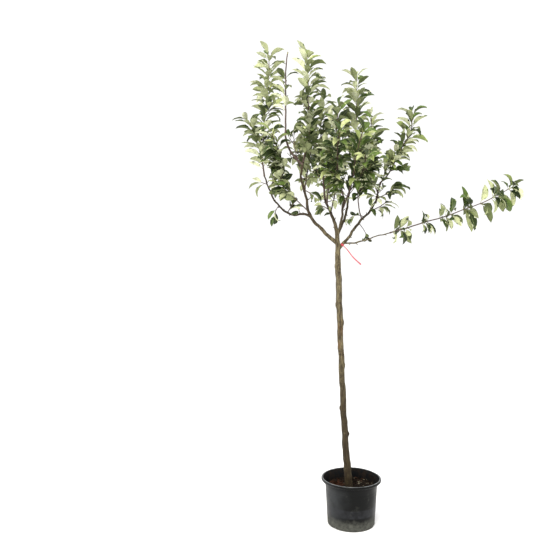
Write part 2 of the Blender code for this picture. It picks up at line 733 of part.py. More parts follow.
def main():
    clear_scene()
    parts = new_collection("potted_apple_tree")
    cutters = new_collection("cutters")
    black = new_material("black_polypropylene", (0.012, 0.013, 0.014), 0.42)
    earth = new_material("bark_and_peat_mix", (0.035, 0.018, 0.010), 0.95)
    bark = new_material("bark", (0.150, 0.118, 0.070), 0.85)
    foliage = new_material("foliage", (0.110, 0.190, 0.045), 0.55)
    red = new_material("red_polythene", (0.520, 0.035, 0.045), 0.45)

    walked = walk_limbs()
    build_pot(parts, cutters, black)
    build_mix(parts, earth)
    for limb in (TRUNK, *BOUGHS):
        build_limb(limb, walked, parts, cutters, bark)
    build_strap(walked, parts, cutters, red)
    space = Space(walked)
    template = leaf_template()
    for i, shoot in enumerate(SHOOTS):
        rng = np.random.default_rng(SEED + i)
        build_shoot(shoot, walked, space, template, parts, cutters, foliage, rng)


main()
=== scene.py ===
"""Looks of a dwarf apple tree in a nursery pot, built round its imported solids.

Metres, +Z up, with the front of the tree towards -Y. Lengths and diameters of the wood are given in
millimetres, headings in degrees anticlockwise from +X seen from above, and rises in degrees above the
horizontal, each list running from a limb's foot to its tip.
"""

import json
from dataclasses import dataclass
from math import cos, radians, sin, tau
from typing import NamedTuple

import bmesh
import bpy
import numpy as np
from bpy.props import FloatProperty, FloatVectorProperty, IntProperty, PointerProperty
from bpy.types import Operator, Panel, PropertyGroup
from mathutils import Matrix, Vector, noise

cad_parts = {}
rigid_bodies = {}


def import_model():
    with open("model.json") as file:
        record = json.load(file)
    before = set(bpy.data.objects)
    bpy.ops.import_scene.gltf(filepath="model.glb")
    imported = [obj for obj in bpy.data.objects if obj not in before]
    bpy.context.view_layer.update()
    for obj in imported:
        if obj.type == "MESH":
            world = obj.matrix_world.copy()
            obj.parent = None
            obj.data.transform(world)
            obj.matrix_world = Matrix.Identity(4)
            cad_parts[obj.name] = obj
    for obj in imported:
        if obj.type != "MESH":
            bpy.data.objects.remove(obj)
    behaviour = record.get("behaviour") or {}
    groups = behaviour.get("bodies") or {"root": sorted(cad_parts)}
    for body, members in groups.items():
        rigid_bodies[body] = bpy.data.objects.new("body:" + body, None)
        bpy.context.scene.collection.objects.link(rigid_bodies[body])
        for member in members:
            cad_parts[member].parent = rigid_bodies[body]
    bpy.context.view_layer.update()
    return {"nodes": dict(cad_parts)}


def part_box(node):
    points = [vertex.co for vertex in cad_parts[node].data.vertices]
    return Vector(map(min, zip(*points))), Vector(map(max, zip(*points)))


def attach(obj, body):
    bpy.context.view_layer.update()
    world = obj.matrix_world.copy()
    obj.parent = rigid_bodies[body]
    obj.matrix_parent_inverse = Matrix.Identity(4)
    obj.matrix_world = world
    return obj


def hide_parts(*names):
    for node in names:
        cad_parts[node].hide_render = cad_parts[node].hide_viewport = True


bl_info = {
    "name": "Potted apple tree",
    "version": (1, 0, 0),
    "blender": (4, 5, 0),
    "location": "3D View > Sidebar > Apple tree",
    "description": "Pot, bark, twigs and leaves of a young apple tree on a bare stem",
    "category": "Object",
}

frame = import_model()
BODY = "root"
MM = 0.001
MERGED = 0.01 * MM

# Pot: its shell, rim, band, rings, foot, notches, holes and dent, with angles from +X
POT_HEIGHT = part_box("pot")[1].z
POT_RIM_RADIUS = 122.5 * MM
POT_TOP_RADIUS = 108.8 * MM
POT_BASE_RADIUS = 96.0 * MM
POT_WALL = 2.2 * MM
POT_FLOOR = 3.0 * MM
RIM_HEIGHT = 12.5 * MM
ROLL_WIDTH = 9.0 * MM
ROLL_LAP = 0.5 * MM
ROLL_ANGLES = range(150, -91, -15)
BAND_DROP = 32 * MM
BAND_DEPTH = 0.8 * MM
BAND_SLOPE = 3 * MM
RING_HEIGHTS = (146 * MM, 137 * MM, 34 * MM)
RING_DEPTH = 0.35 * MM
RING_WIDTH = 2.4 * MM
FOOT_ROUND = 2.5 * MM
FOOT_ANGLES = range(0, 91, 15)
NOTCH_ANGLES = (-135, -15, 105)
NOTCH_DEPTH = 15 * MM
NOTCH_WIDTH = 22 * MM
NOTCH_HEIGHT = 5 * MM
DRAIN_RADIUS = 5 * MM
DRAIN_CIRCLE = 62 * MM
DRAIN_ANGLES = (-90, -45, 45, 90, 150, 180, 0)
DRAIN_SIDES = 24
DENT_ANGLE = 40
DENT_DEPTH = 3.5 * MM
DENT_SPREAD = 22
DENT_REACH = 60 * MM

# Marks on the pot: the band where stacked pots rub, the painted highlight along the crest, the splashed foot,
# and the painted sheen at its left front
RUBBED = (51 * MM, 84 * MM)
CREST_DROPS = (1.4 * MM, 0.2 * MM)
DUST_REACH = 52 * MM
SHEEN_AT = (-105 * MM, -60 * MM, 110 * MM)
SHEEN_REACH = 130 * MM

# Mix: its surface, each of its lumps with a pitch, a seed and a share, and its spill of fresher bark
MIX_TOP = 146 * MM
MIX_CLEAR = 0.6 * MM
MIX_SEAT = 0.5 * MM
MIX_RINGS = 36
MIX_STEPS = 120
MIX_RELIEF = 5 * MM
MIX_LUMPS = ((55, 1, 1.0), (160, 5, 0.5))
MIX_LEVEL = (0.42, 0.1)
MIX_BANK = 0.09
SPILL_AT = (-63 * MM, 30 * MM, MIX_TOP)
SPILL_REACH = 46 * MM
SPILL_CORE = 0.8

# Loose chips: lengths and thicknesses in millimetres, widths as shares of a length
CHIP_SIZES = (4, 19)
CHIP_SKEW = 2.5
CHIP_WIDTHS = (0.3, 0.6)
CHIP_THICKNESSES = (0.8, 2.4)
CHIP_BREAKS = (0.55, 1.15)
CHIP_TILT = 0.35
CHIP_RISE = 2.5 * MM
CHIP_SEATS = (-0.2, 1)
CHIP_SPREAD = 0.95
CHIPS_BACK_FROM = 0.4

# Shares of damp, rusty and pale chips
CHIPS_SPILT = (0.45, 0.52, 0.03)
CHIPS_BACK = (0.78, 0.12, 0.10)
CHIPS_FRONT = (0.90, 0.08, 0.02)

# Limbs: girths and waves in millimetres, places as shares of a limb's length
TUBE_STEPS = 60
TRUNK_FOOT = Vector((-9 * MM, 0, MIX_TOP - 6 * MM))
TRUNK_GIRTH = ((0, 31.5), (0.11, 29.0), (0.2, 27.0), (0.36, 24.6), (0.58, 23.4), (0.67, 25.4), (0.86, 24.9),
               (0.94, 20.5), (1.0, 18.0))
TRUNK_SIDES = 20
BOUGH_SIDES = 14
COLLAR = 0.18
TIP_LAP = 2.5
KINKS = ((150, 2.0), (64, 1.0), (29, 0.5))
KINK_EASE = 40
SHOOT_KINK = 0.45
TRUNK_KINK = 0.5
BOUGH_SLIM = (1.0, 0.82)
SIDEWAYS = (0.31, 0.95, 0.02)

# Bark relief: how closely its lumps, ridges and pores lie along x, y and z, and how far they stand out
BARK_RING = 3.5
TRUNK_RELIEF = 1.7
BOUGH_RELIEF = 0.8
LUMP_PITCH = (38, 38, 38)
LUMP_SHARE = 0.9
RIDGE_PITCH = (420, 420, 55)
RIDGE_SHARE = 0.5
PORE_PITCH = (210, 210, 640)
PORE_FROM = 0.42
PORE_SHARE = 1.6

# Knots and the root flare: a knot's width and rise on a bough are shares of the bough's radius
KNOT_STRETCH = (0.16, 0.95)
KNOT_PITCH = 34
KNOT_WIDTHS = (0.5, 0.9)
KNOT_RISES = (0.15, 0.42)
KNOT_REACH = 3
DIMPLE_DEPTH = 0.45
DIMPLE_FOCUS = 2.8
FLARE_FADE = 28 * MM
FLARE_SWELL = 1.2
FLARE_LOBES = ((1.6, 3, 0.8), (0.9, 5, 0))

# Dead spurs and twigs: lengths and girths in millimetres, rises in degrees
STUB_STRETCH = (0.12, 0.97)
STUB_PITCH = 30
STUB_LEAN = (0.2, 0.9)
STUB_LENGTH = (3, 11)
STUB_FOOT = 3.6
STUB_TIP = 2.4
STUB_RINGS = 4
TWIG_FOOT = 3.4
TWIG_TIP = 2.0
TWIG_HELD = 12
TWIG_RISE = (15, 45)
TWIG_LIFT = 28
TWIG_SHORTER = 0.45
TWIG_LENGTHS = (0.7, 1.12)
TWIG_LAST = 0.8
TWIG_FIRST = 0.4
TWIG_SLACK = 20
TWIG_SIDES = 6
TWIG_RINGS = 12
STEM_RINGS = 48
STEM_GREEN_FROM = 0.97
TWIG_GREEN_FROM = 0.75

# Leaves: widths are shares of a leaf's length, and angles are in degrees
LEAF_WIDTH = 0.34
LEAF_WIDEST = 0.56
LEAF_FOLD = 0.32
LEAF_BEND = (0.10, 0.34)
LEAF_PULL = 0.12
LEAF_SAG = (0.4, 1.3)
LEAF_ROLL = 26
HANGING_ROLL = 95
HANGING_DROOP = 0.25
HANGING_BEND = 1.5
GOLDEN_STEP = 137.5
STEP_SLACK = 14
TIP_SPREAD = 31
SPREAD_STEP = 3.0
SPREAD_SHARES = (0.75, 1.2)
LENGTH_SHARES = (0.8, 1.08)
YOUNG_LEAVES = 5
YOUNG_SIZE = 0.88
ROSETTE_SPAN = 6
ROSETTE_SPREAD = 64
ROSETTE_SIZES = (0.75, 1.15)
TWIG_LEAF = 0.94
TWIG_BARE = 0.3
SKYWARD = np.array((0, 0, 0.5))
PITCH_SHARE = 0.405
LEAF_SHARE = 0.87

# Places along a leaf, the petiole's two rings and then the blade's, and its half width at each
LEAF_STATIONS = np.array((0.0, 0.16, 0.25, 0.37, 0.50, 0.64, 0.78, 0.90, 1.0))
LEAF_HALVES = np.array((0.008, 0.011, 0.080, 0.146, 0.172, 0.162, 0.118, 0.057, 0.0))
# Across a leaf: both edges, both middles, the two sides of the midrib, and the underside of the midrib
RING_SIDES = np.array((-1.0, -0.55, -0.035, 0.035, 0.55, 1.0, 0.0))
STALK_ROUND = np.array((0, 1, 1, 1, 1, 0, -1))
EDGES = np.array((1, 0, 0, 0, 0, -1, 0))
RING_SIZE = len(RING_SIDES)
UPPER, LOWER, RIB, STALK = range(4)
RING_PARTS = (UPPER, UPPER, RIB, UPPER, UPPER, LOWER, LOWER)
STALK_RISE = 0.007
CROWN_RISE = 0.014
RIB_DEPTH = 0.006
WAVE = 0.018
WAVE_STEP = 2.1
BLADE_WIDTHS = (0.86, 1.1)
FLATTEST = 0.3
CURL_EASE = 1.6
TWIST = 0.5
TWIST_RATE = 1.4

# Leaf colours: upper sides from oldest to youngest, then undersides from darkest to palest, lit and shaded
# copies whose darker ones are painted shade, then midrib and stalk
UPPER_COLOURS = ("#233012", "#33451a", "#4c6027", "#76834a", "#a3ab76")
LOWER_LIT_AND_SHADED_COLOURS = ("#5d6741", "#8b9368", "#b4ba90", "#d2d6b2")
RIB_COLOUR = "#84915a"
STALK_COLOUR = "#7d7a48"
UPPER_ROUGHNESS = 0.45
LOWER_ROUGHNESS = 0.8
STALK_ROUGHNESS = 0.6

# How colours are dealt: what youth adds, what height adds as painted light that makes leaves paler high in
# the crown, then the mean and the spread of the draw
CROWN_FROM = 1.35
CROWN_HEIGHT = 0.5
UPPER_YOUTH = 0.35
UPPER_PAINTED_LIGHT = 0.2
UPPER_DRAW = (0.14, 0.33)
LOWER_PAINTED_LIGHT = 0.15
LOWER_DRAW = (0.40, 0.33)

# The seeded rule and the space that each mass keeps to
SEED = 25
TRIES = 7
LIMB_CLEAR = 5 * MM
LEAF_CLEAR = 2.5 * MM
LEAF_NEAR = 90 * MM
SHARE_MARGIN = 4 * MM

# Strap: where it lies on the right bough, its sizes in millimetres and its angles in degrees
STRAP_PLACE = 29.0
STRAP_WIDTH = 6.5
STRAP_THICK = 0.8
STRAP_GAP = 0.3
STRAP_RINGS = 40
# Each turn round the bough: how far up it lies and how it leans
STRAP_TURNS = ((-1.4, 0.10), (1.2, -0.12))
TURN_WIDTH = 0.62
KNOT_RADIUS = 5.5
KNOT_SQUASH = 0.75
# Creases of the knot and the tail's two bends and two turns: how deep or wide each is, and how fast it goes
KNOT_CRUMPLE = (0.16, 420)
KNOT_RIBS = (0.10, 2.2)
TAIL_LENGTH = 110
TAIL_HEADING = -9
TAIL_RISE = -47
TAIL_WIDTHS = (3.0, 6.0)
TAIL_SWAY = (3.0, 5.0)
TAIL_WAVE = (1.6, 7.5)
TAIL_UNTWIST = (0.9, 3)
TAIL_ROLL = (0.25, 6)
TO_BACK = np.array((0, 1, 0))

# Stage: the camera, and each lamp with its place, what it points at, its two sides and its colour
CAMERA_AT = Vector((0, -2.6, 1.11))
CAMERA_AIM = Vector((-0.309, 0, 1.012))
LENS = 41.43
SENSOR = 36
KEY_LAMP = ("key_lamp", (-0.7, -2.4, 3.4), (-0.1, 0, 1.3), (1.5, 1.5), "#fffaf0")
SIDE_LAMPS = (
    ("right_lamp", (2.4, -0.6, 1.5), (0, 0, 0.9), (0.8, 2.2), "#ffffff"),
    ("left_lamp", (-2.4, 0.2, 1.0), (0, 0, 0.7), (0.8, 2.2), "#ffffff"),
)


def linear(hex_colour):
    """An sRGB hex colour as linear red, green and blue."""
    shares = [int(hex_colour[i:i + 2], 16) / 255 for i in (1, 3, 5)]
    return tuple(s / 12.92 if s <= 0.04045 else ((s + 0.055) / 1.055) ** 2.4 for s in shares)


def colour_property(name, description, hex_colour):
    """A colour that the user can change, in linear values."""
    return FloatVectorProperty(name=name, description=description, subtype="COLOR", size=3,
                               min=0.0, max=1.0, default=linear(hex_colour))


@dataclass(frozen=True)
class Limb:
    """One tapering limb that leaves its parent at a place from 0, its foot, to 1, its tip."""

    name: str
    parent: str
    place: float
    length: float
    heading: tuple
    rise: tuple
    foot: float
    tip: float


@dataclass(frozen=True)
class Shoot(Limb):
    """A leafy shoot: its stem, the stretch of it that bears leaves, its side twigs and its forks.

    Where it has rosettes, its leaves stand in them instead: each is a place on the stem, a number of leaves
    and their size. A shoot is stouter than its solid where its bark shows.
    """

    leafy: tuple = (0.06, 1.0)
    pitch: float = 15
    leaf: float = 92
    droop: float = 0.1
    sides: int = 0
    side_length: float = 0
    forks: tuple = ()
    rosettes: tuple = ()
    youth: float = 0.3
    stout: float = 1.1


class Leaf(NamedTuple):
    """A leaf's frame: where it roots, its three directions, its length, how far it arches and its youth."""

    root: np.ndarray
    ahead: np.ndarray
    across: np.ndarray
    up: np.ndarray
    length: float
    bend: float
    youth: float


TRUNK = Limb("trunk", "", 0, 1057, (180, 180, 180, 180), (85, 87, 88, 88), 31.5, 18)

BOUGHS = (
    Limb("left_bough", "trunk", 0.955, 380, (-168, -166, -143, -136, -16), (38, 42, 73, 73, 80), 16, 9),
    Limb("low_left_bough", "left_bough", 0.40, 310, (151, 167, 163, 157, 153, 139),
         (40, -15, 39, 55, 60, 71), 10, 7),
    Limb("mid_left_bough", "trunk", 1.0, 150, (144, 150, 153), (71, 66, 64), 15, 11),
    Limb("mid_right_front_bough", "trunk", 0.985, 160, (-53, -68, -65), (62, 66, 66), 12, 9),
    Limb("mid_right_back_bough", "trunk", 0.985, 280, (49, 26, 91, 47, 22), (66, 58, 77, 67, 51), 12, 7),
    Limb("right_bough", "trunk", 0.93, 330, (7, 10, 7, 12, 28), (44, 58, 43, 67, 81), 13, 8),
    Limb("low_right_bough", "right_bough", 0.105, 195, (-20, -6, -10, -8), (-4, 16, 14, 18), 7, 5),
)

OUTER_LEFT_FORK = Limb("fork", "outer_left_leader", 0.12, 185, (-136, -142, -165), (72, 72, 52), 4, 2.6)

SHOOTS = (
    # Leaders that make the outline
    Shoot("inner_left_leader", "left_bough", 1.0, 410, (-8, -12, 39, 0), (76, 87, 93, 92), 8, 3,
          pitch=17, leaf=96, sides=4, side_length=80, youth=0.75),
    Shoot("bare_leader", "left_bough", 0.965, 485, (171, 170, 65, 109, 80, 37),
          (34, 68, 88, 82, 85, 80), 6, 3.4, leafy=(0.5, 0.8), pitch=28, leaf=86, youth=0.1, stout=1.5),
    Shoot("outer_left_leader", "low_left_bough", 1.0, 510, (185, 23, 47, -51), (81, 86, 82, 93), 7, 3,
          pitch=16, leaf=96, sides=4, side_length=80, forks=(OUTER_LEFT_FORK,), youth=0.8),
    Shoot("centre_left_leader", "mid_left_bough", 1.0, 435, (124, 110, 49), (78, 81, 79), 8, 3,
          pitch=22, sides=4, side_length=95),
    Shoot("centre_leader", "mid_left_bough", 0.83, 400, (-80, -66, -84), (67, 63, 64), 7, 3,
          pitch=21, sides=5, side_length=110),
    Shoot("back_right_leader", "mid_right_back_bough", 1.0, 420, (89, 93, 92), (84, 85, 85), 6.5, 3,
          pitch=18, leaf=96, sides=4, side_length=80, youth=0.75),
    Shoot("outer_right_leader", "right_bough", 1.0, 305, (-12, -29, -14, -136), (41, 66, 53, 95), 6, 3,
          leafy=(0.08, 1.0), pitch=21, sides=4, side_length=60, youth=0.5),
    Shoot("inner_right_shoot", "right_bough", 0.87, 305, (-146, -99, -80), (59, 80, 73), 5, 3,
          pitch=20, sides=4, side_length=80),
    Shoot("low_right_shoot", "low_right_bough", 1.0, 490, (-6, -6, -7, -8), (17, 16, 21, 31), 5, 2.8,
          leaf=95, droop=0.28,
          rosettes=((0.03, 6, 0.75), (0.09, 6, 0.85), (0.13, 4, 0.85), (0.26, 6, 0.7), (0.30, 5, 0.8),
                    (0.41, 6, 0.75), (0.45, 6, 0.85), (0.50, 5, 0.9), (0.60, 6, 1.05), (0.64, 5, 1.15),
                    (0.74, 4, 1.15), (0.84, 6, 1.0), (0.87, 5, 1.05), (0.97, 5, 1.0), (0.995, 6, 1.05))),
    # Shoots that fill the front of the crown
    Shoot("left_front_shoot", "low_left_bough", 0.70, 290, (-30, -62, -120, -114), (36, 57, 56, 50), 5, 3,
          leafy=(0.12, 1.0), pitch=20, leaf=106, sides=4, side_length=75),
    Shoot("front_left_shoot", "mid_right_front_bough", 1.0, 320, (-115, -91, -80), (45, 47, 42), 7, 3,
          leaf=82, pitch=24, sides=6, side_length=130, droop=0.2),
    Shoot("front_right_shoot", "mid_right_front_bough", 0.70, 340, (-45, -77, -67), (58, 56, 50), 6, 3,
          leaf=82, leafy=(0.12, 1.0), pitch=24, sides=5, side_length=120, droop=0.2),
    Shoot("right_front_shoot", "right_bough", 0.48, 350, (-104, -98, -68, -90), (39, 45, 40, 41), 5, 3,
          leaf=82, leafy=(0.3, 1.0), pitch=23, sides=5, side_length=100, droop=0.1),
    # Shoots that fill the back of the crown
    Shoot("back_left_shoot", "left_bough", 0.66, 370, (95, 82, 96), (34, 46, 60), 6, 3,
          leafy=(0.2, 1.0), pitch=21, sides=5, side_length=110),
    Shoot("back_centre_shoot", "mid_left_bough", 0.60, 400, (78, 92, 96), (34, 48, 58), 6, 3,
          leafy=(0.2, 1.0), pitch=25, sides=6, side_length=120),
    Shoot("back_right_shoot", "mid_right_back_bough", 0.72, 340, (66, 72, 78), (28, 44, 58), 6, 3,
          leafy=(0.15, 1.0), pitch=21, sides=5, side_length=110),
    # Spurs and short shoots on the old wood
    Shoot("left_side_shoot", "left_bough", 0.47, 165, (184, 176, 160), (42, 50, 30), 4.5, 2.8,
          leafy=(0.4, 1.0), pitch=13, leaf=86, droop=0.35, sides=2, side_length=45),
    Shoot("low_left_spur", "low_left_bough", 0.36, 55, (30, -10), (62, 50), 4, 2.8,
          leafy=(0.25, 1.0), pitch=9, leaf=88, droop=0.1),
    Shoot("low_left_hanging_spur", "low_left_bough", 0.52, 50, (-135, -105), (-42, -60), 3.6, 2.4,
          leafy=(0.4, 1.0), pitch=24, leaf=76, droop=0.9),
    Shoot("left_inner_spur", "left_bough", 0.70, 48, (-5, -15), (-22, -42), 4, 2.6,
          leafy=(0.4, 1.0), pitch=10, leaf=80, droop=0.5),
    Shoot("mid_left_spur", "mid_left_bough", 0.62, 40, (170, 165), (40, 30), 4, 2.6,
          leafy=(0.4, 1.0), pitch=8, leaf=64, droop=0.4),
    Shoot("right_side_spur", "right_bough", 0.62, 70, (-10, 10), (22, 34), 4, 2.6,
          leafy=(0.35, 1.0), pitch=15, leaf=84, droop=0.2),
    Shoot("right_low_spur", "right_bough", 0.42, 66, (-30, -10), (-46, -70), 3.2, 2.2,
          leafy=(0.7, 1.0), pitch=12, leaf=42, droop=0.6),
)

# Finer spurs on the old wood, whose leaves and twigs join those of the masses round them
SPURS = (
    Shoot("low_left_outer_spur", "low_left_bough", 0.86, 26, (175, 190), (30, 10), 3.2, 2.2,
          leafy=(0.5, 1.0), pitch=16, leaf=90, droop=0.27),
    Shoot("low_left_upper_spur", "low_left_bough", 0.70, 34, (80, 60), (40, 60), 3.2, 2.2,
          leafy=(0.4, 1.0), pitch=14, leaf=78),
    Shoot("low_left_knee_spur", "low_left_bough", 0.16, 26, (-120, -110), (40, 60), 3.2, 2.2,
          leafy=(0.5, 1.0), pitch=14, leaf=66, droop=0.3),
    Shoot("left_high_spur", "left_bough", 0.82, 40, (10, 0), (10, 20), 3.2, 2.2,
          leafy=(0.4, 1.0), pitch=14, leaf=76, droop=0.3),
    Shoot("left_back_spur", "left_bough", 0.58, 38, (60, 50), (30, 40), 3.2, 2.2,
          leafy=(0.4, 1.0), pitch=14, leaf=76, droop=0.2),
    Shoot("mid_left_high_spur", "mid_left_bough", 0.9, 34, (-40, -30), (10, 20), 3.2, 2.2,
          leafy=(0.4, 1.0), pitch=14, leaf=74, droop=0.2),
    Shoot("mid_left_low_spur", "mid_left_bough", 0.45, 22, (-150, -140), (50, 50), 3.0, 2.2,
          leafy=(0.6, 1.0), pitch=14, leaf=58, droop=0.3),
    Shoot("mid_right_front_spur", "mid_right_front_bough", 0.8, 30, (30, 50), (50, 60), 3.2, 2.2,
          leafy=(0.4, 1.0), pitch=14, leaf=76),
    Shoot("mid_right_back_spur", "mid_right_back_bough", 0.62, 34, (120, 140), (30, 30), 3.2, 2.2,
          leafy=(0.4, 1.0), pitch=14, leaf=74, droop=0.2),
    Shoot("right_inner_spur", "right_bough", 0.52, 62, (172, 190), (34, -40), 3.2, 2.0,
          leafy=(0.3, 1.0), pitch=17, leaf=60, droop=0.6),
    Shoot("right_front_spur", "right_bough", 0.64, 32, (-100, -90), (10, 20), 3.2, 2.2,
          leafy=(0.4, 1.0), pitch=14, leaf=70, droop=0.2),
    Shoot("right_high_spur", "right_bough", 0.86, 38, (-60, -40), (20, 30), 3.2, 2.2,
          leafy=(0.4, 1.0), pitch=13, leaf=80, droop=0.2),
    Shoot("right_back_spur", "right_bough", 0.78, 36, (100, 80), (30, 30), 3.2, 2.2,
          leafy=(0.4, 1.0), pitch=13, leaf=80, droop=0.1),
    Shoot("right_outer_spur", "outer_right_leader", 0.2, 40, (0, -10), (20, 10), 3.0, 2.0,
          leafy=(0.3, 1.0), pitch=17, leaf=80, droop=0.3),
    Shoot("right_side_shoot", "right_bough", 0.80, 95, (-25, -10), (14, 40), 3.6, 2.4,
          leafy=(0.2, 1.0), pitch=20, leaf=84, droop=0.15, sides=2, side_length=40),
    Shoot("right_upper_shoot", "right_bough", 0.95, 150, (-60, -40), (50, 62), 4.0, 2.4,
          leafy=(0.15, 1.0), pitch=20, leaf=88, droop=0.1, sides=2, side_length=60),
    Shoot("left_lower_shoot", "low_left_bough", 0.80, 130, (60, 40), (44, 66), 4.0, 2.4,
          leafy=(0.15, 1.0), pitch=17, leaf=88, droop=0.1, sides=3, side_length=60),
    Shoot("left_upper_shoot", "left_bough", 0.90, 200, (125, 105), (50, 74), 4.0, 2.4,
          leafy=(0.2, 1.0), pitch=24, leaf=88, droop=0.1, sides=3, side_length=70),
)

# Masses whose leaves are joined into one piece, and whose twigs into another
GROUPS = {
    "left": ("inner_left_leader", "bare_leader", "outer_left_leader", "left_front_shoot",
             "back_left_shoot", "left_side_shoot", "low_left_spur", "low_left_hanging_spur",
             "left_inner_spur", "low_left_outer_spur", "low_left_upper_spur", "low_left_knee_spur",
             "left_high_spur", "left_back_spur", "left_lower_shoot", "left_upper_shoot"),
    "centre": ("centre_left_leader", "centre_leader", "front_left_shoot", "back_centre_shoot",
               "mid_left_spur", "front_right_shoot", "mid_left_high_spur", "mid_left_low_spur",
               "mid_right_front_spur", "mid_right_back_spur"),
    "right": ("back_right_leader", "outer_right_leader", "inner_right_shoot", "right_front_shoot",
              "back_right_shoot", "right_side_spur", "right_low_spur", "right_inner_spur",
              "right_front_spur", "right_high_spur", "right_back_spur", "right_outer_spur",
              "right_side_shoot", "right_upper_shoot"),
    "low_right": ("low_right_shoot",),
}

# Knots left by pruning: height on the trunk, turn round it from the front, width and height in millimetres
TRUNK_KNOTS = (
    (0.90, -90, 9, 4.4), (0.832, 85, 10, 4.8), (0.712, -20, 12, 2.6), (0.642, 80, 9, 5.0),
    (0.479, -85, 8, 5.0), (0.375, 88, 7, 5.6), (0.96, 10, 8, 2.4), (0.56, 20, 7, 2.2),
    (0.27, -30, 9, 2.4), (1.06, -70, 8, 3.0), (0.78, 170, 9, 3.6), (0.52, 150, 9, 3.4), (1.01, 160, 8, 3.2),
    (0.20, 60, 11, 3.0), (0.235, -70, 10, 2.8),
)


# Materials: the kinds of node they are made of, then each material

NOISE = "ShaderNodeTexNoise"
RANGE = "ShaderNodeMapRange"
MIX = "ShaderNodeMix"
MATH = "ShaderNodeMath"
DISTANCE = "ShaderNodeVectorMath"
PLACES = "ShaderNodeTexCoord"
STRETCH = "ShaderNodeMapping"
SPLIT = "ShaderNodeSeparateXYZ"
BUMP = "ShaderNodeBump"


def feed(tree, node, inputs):
    """Link or set a node's inputs, each by its name or number."""
    for key, value in inputs.items():
        if isinstance(value, bpy.types.NodeSocket):
            tree.links.new(value, node.inputs[key])
        else:
            node.inputs[key].default_value = value


def add(tree, kind, inputs, out=None, **settings):
    """Add a node of a kind with its settings and inputs, and return the output that is asked for."""
    node = tree.nodes.new(kind)
    for name, value in settings.items():
        setattr(node, name, value)
    feed(tree, node, inputs)
    if out:
        return node.outputs[out]
    return next(socket for socket in node.outputs if not socket.is_unavailable)


def new_material(name, **constants):
    """A Principled material with its constants set, its node tree, its shader and its object coordinates."""
    material = bpy.data.materials.new(name)
    material.use_nodes = True
    tree = material.node_tree
    shader = tree.nodes["Principled BSDF"]
    feed(tree, shader, {key.replace("_", " "): value for key, value in constants.items()})
    return material, tree, shader, add(tree, PLACES, {}, "Object")


def rgba(colour, share=1.0):
    """A colour with its alpha, darkened to a share."""
    return (*(share * part for part in colour), 1.0)


def moulded_polypropylene(settings):
    """Black polypropylene, injection moulded: a satin skin with a painted sheen in clouds at its left front,
    a painted grey highlight along the crest of the rim, scuffed grey round the band where stacked pots rub,
    and mottled by dried splashes round the foot."""
    material, tree, shader, place = new_material("black_polypropylene_moulded", IOR=1.49,
                                                 Specular_IOR_Level=0.12)
    height = add(tree, SPLIT, {0: place}, "Z")
    # Clouds of the painted sheen are about 40 mm across, patches of rubbing and of the crest's painted
    # highlight 18 mm, splashes 30 mm and their mottling 15 mm
    sheen_clouds = add(tree, NOISE, {"Vector": place, "Scale": 25, "Detail": 3})
    scuffs_and_highlight_breaks = add(tree, NOISE, {"Vector": place, "Scale": 56, "Detail": 4})
    splashes = add(tree, NOISE, {"Vector": place, "Scale": 33, "Detail": 5, "Roughness": 0.6})
    mottling = add(tree, NOISE, {"Vector": place, "Scale": 66, "Detail": 5, "Roughness": 0.65})
    # Painted sheen: lighter grey in clouds that fade out with distance from a point at the pot's left front
    away = add(tree, DISTANCE, {0: place, 1: SHEEN_AT}, "Value", operation="DISTANCE")
    near_sheen = add(tree, RANGE, {0: away, 1: SHEEN_REACH, 2: 0.1 * SHEEN_REACH})
    painted_sheen = add(tree, MATH, {0: near_sheen, 1: sheen_clouds}, operation="MULTIPLY")
    painted_sheen = add(tree, RANGE, {0: painted_sheen, 1: 0.05, 2: 0.45})
    skin = add(tree, MIX, {0: painted_sheen, 6: rgba(settings.plastic), 7: rgba(settings.plastic_sheen)},
               data_type="RGBA")
    above = add(tree, RANGE, {0: height, 1: RUBBED[0], 2: RUBBED[0] + 6 * MM})
    below = add(tree, RANGE, {0: height, 1: RUBBED[1] + 5 * MM, 2: RUBBED[1]})
    rubbed = add(tree, MATH, {0: above, 1: below}, operation="MULTIPLY")
    patchy = add(tree, RANGE, {0: scuffs_and_highlight_breaks, 1: 0.3, 2: 0.7, 3: 0.25, 4: 0.9})
    rubbed = add(tree, MATH, {0: rubbed, 1: patchy}, operation="MULTIPLY")
    skin = add(tree, MIX, {0: rubbed, 6: skin, 7: rgba(settings.plastic_rubbed)}, data_type="RGBA")
    # Painted highlight: light grey along the crest of the rim, broken into patches
    crest = add(tree, RANGE, {0: height, 1: POT_HEIGHT - CREST_DROPS[0], 2: POT_HEIGHT - CREST_DROPS[1]})
    crest = add(tree, MATH, {0: crest, 1: patchy}, operation="MULTIPLY")
    skin = add(tree, MIX, {0: crest, 6: skin, 7: rgba(settings.plastic_crest_highlight)}, data_type="RGBA")
    low = add(tree, RANGE, {0: height, 1: DUST_REACH, 2: 0.3 * DUST_REACH})
    ragged = add(tree, MATH, {0: low, 1: splashes}, operation="ADD")
    ragged = add(tree, RANGE, {0: ragged, 1: 0.58, 2: 1.3})
    mottled = add(tree, RANGE, {0: mottling, 1: 0.36, 2: 0.66, 3: 0.4, 4: 0.95})
    dusty = add(tree, MATH, {0: ragged, 1: mottled}, operation="MULTIPLY")
    skin = add(tree, MIX, {0: dusty, 6: skin, 7: rgba(settings.dust)}, data_type="RGBA")
    rough = add(tree, RANGE, {0: dusty, 1: 0, 2: 0.85, 3: 0.36, 4: 0.8})
    # The moulded grain is really finer, and is drawn 2 mm across so that it shows
    grain = add(tree, NOISE, {"Vector": place, "Scale": 450, "Detail": 2})
    bump = add(tree, BUMP, {"Height": grain, "Distance": 0.05 * MM})
    feed(tree, shader, {"Base Color": skin, "Roughness": rough, "Normal": bump})
    return material


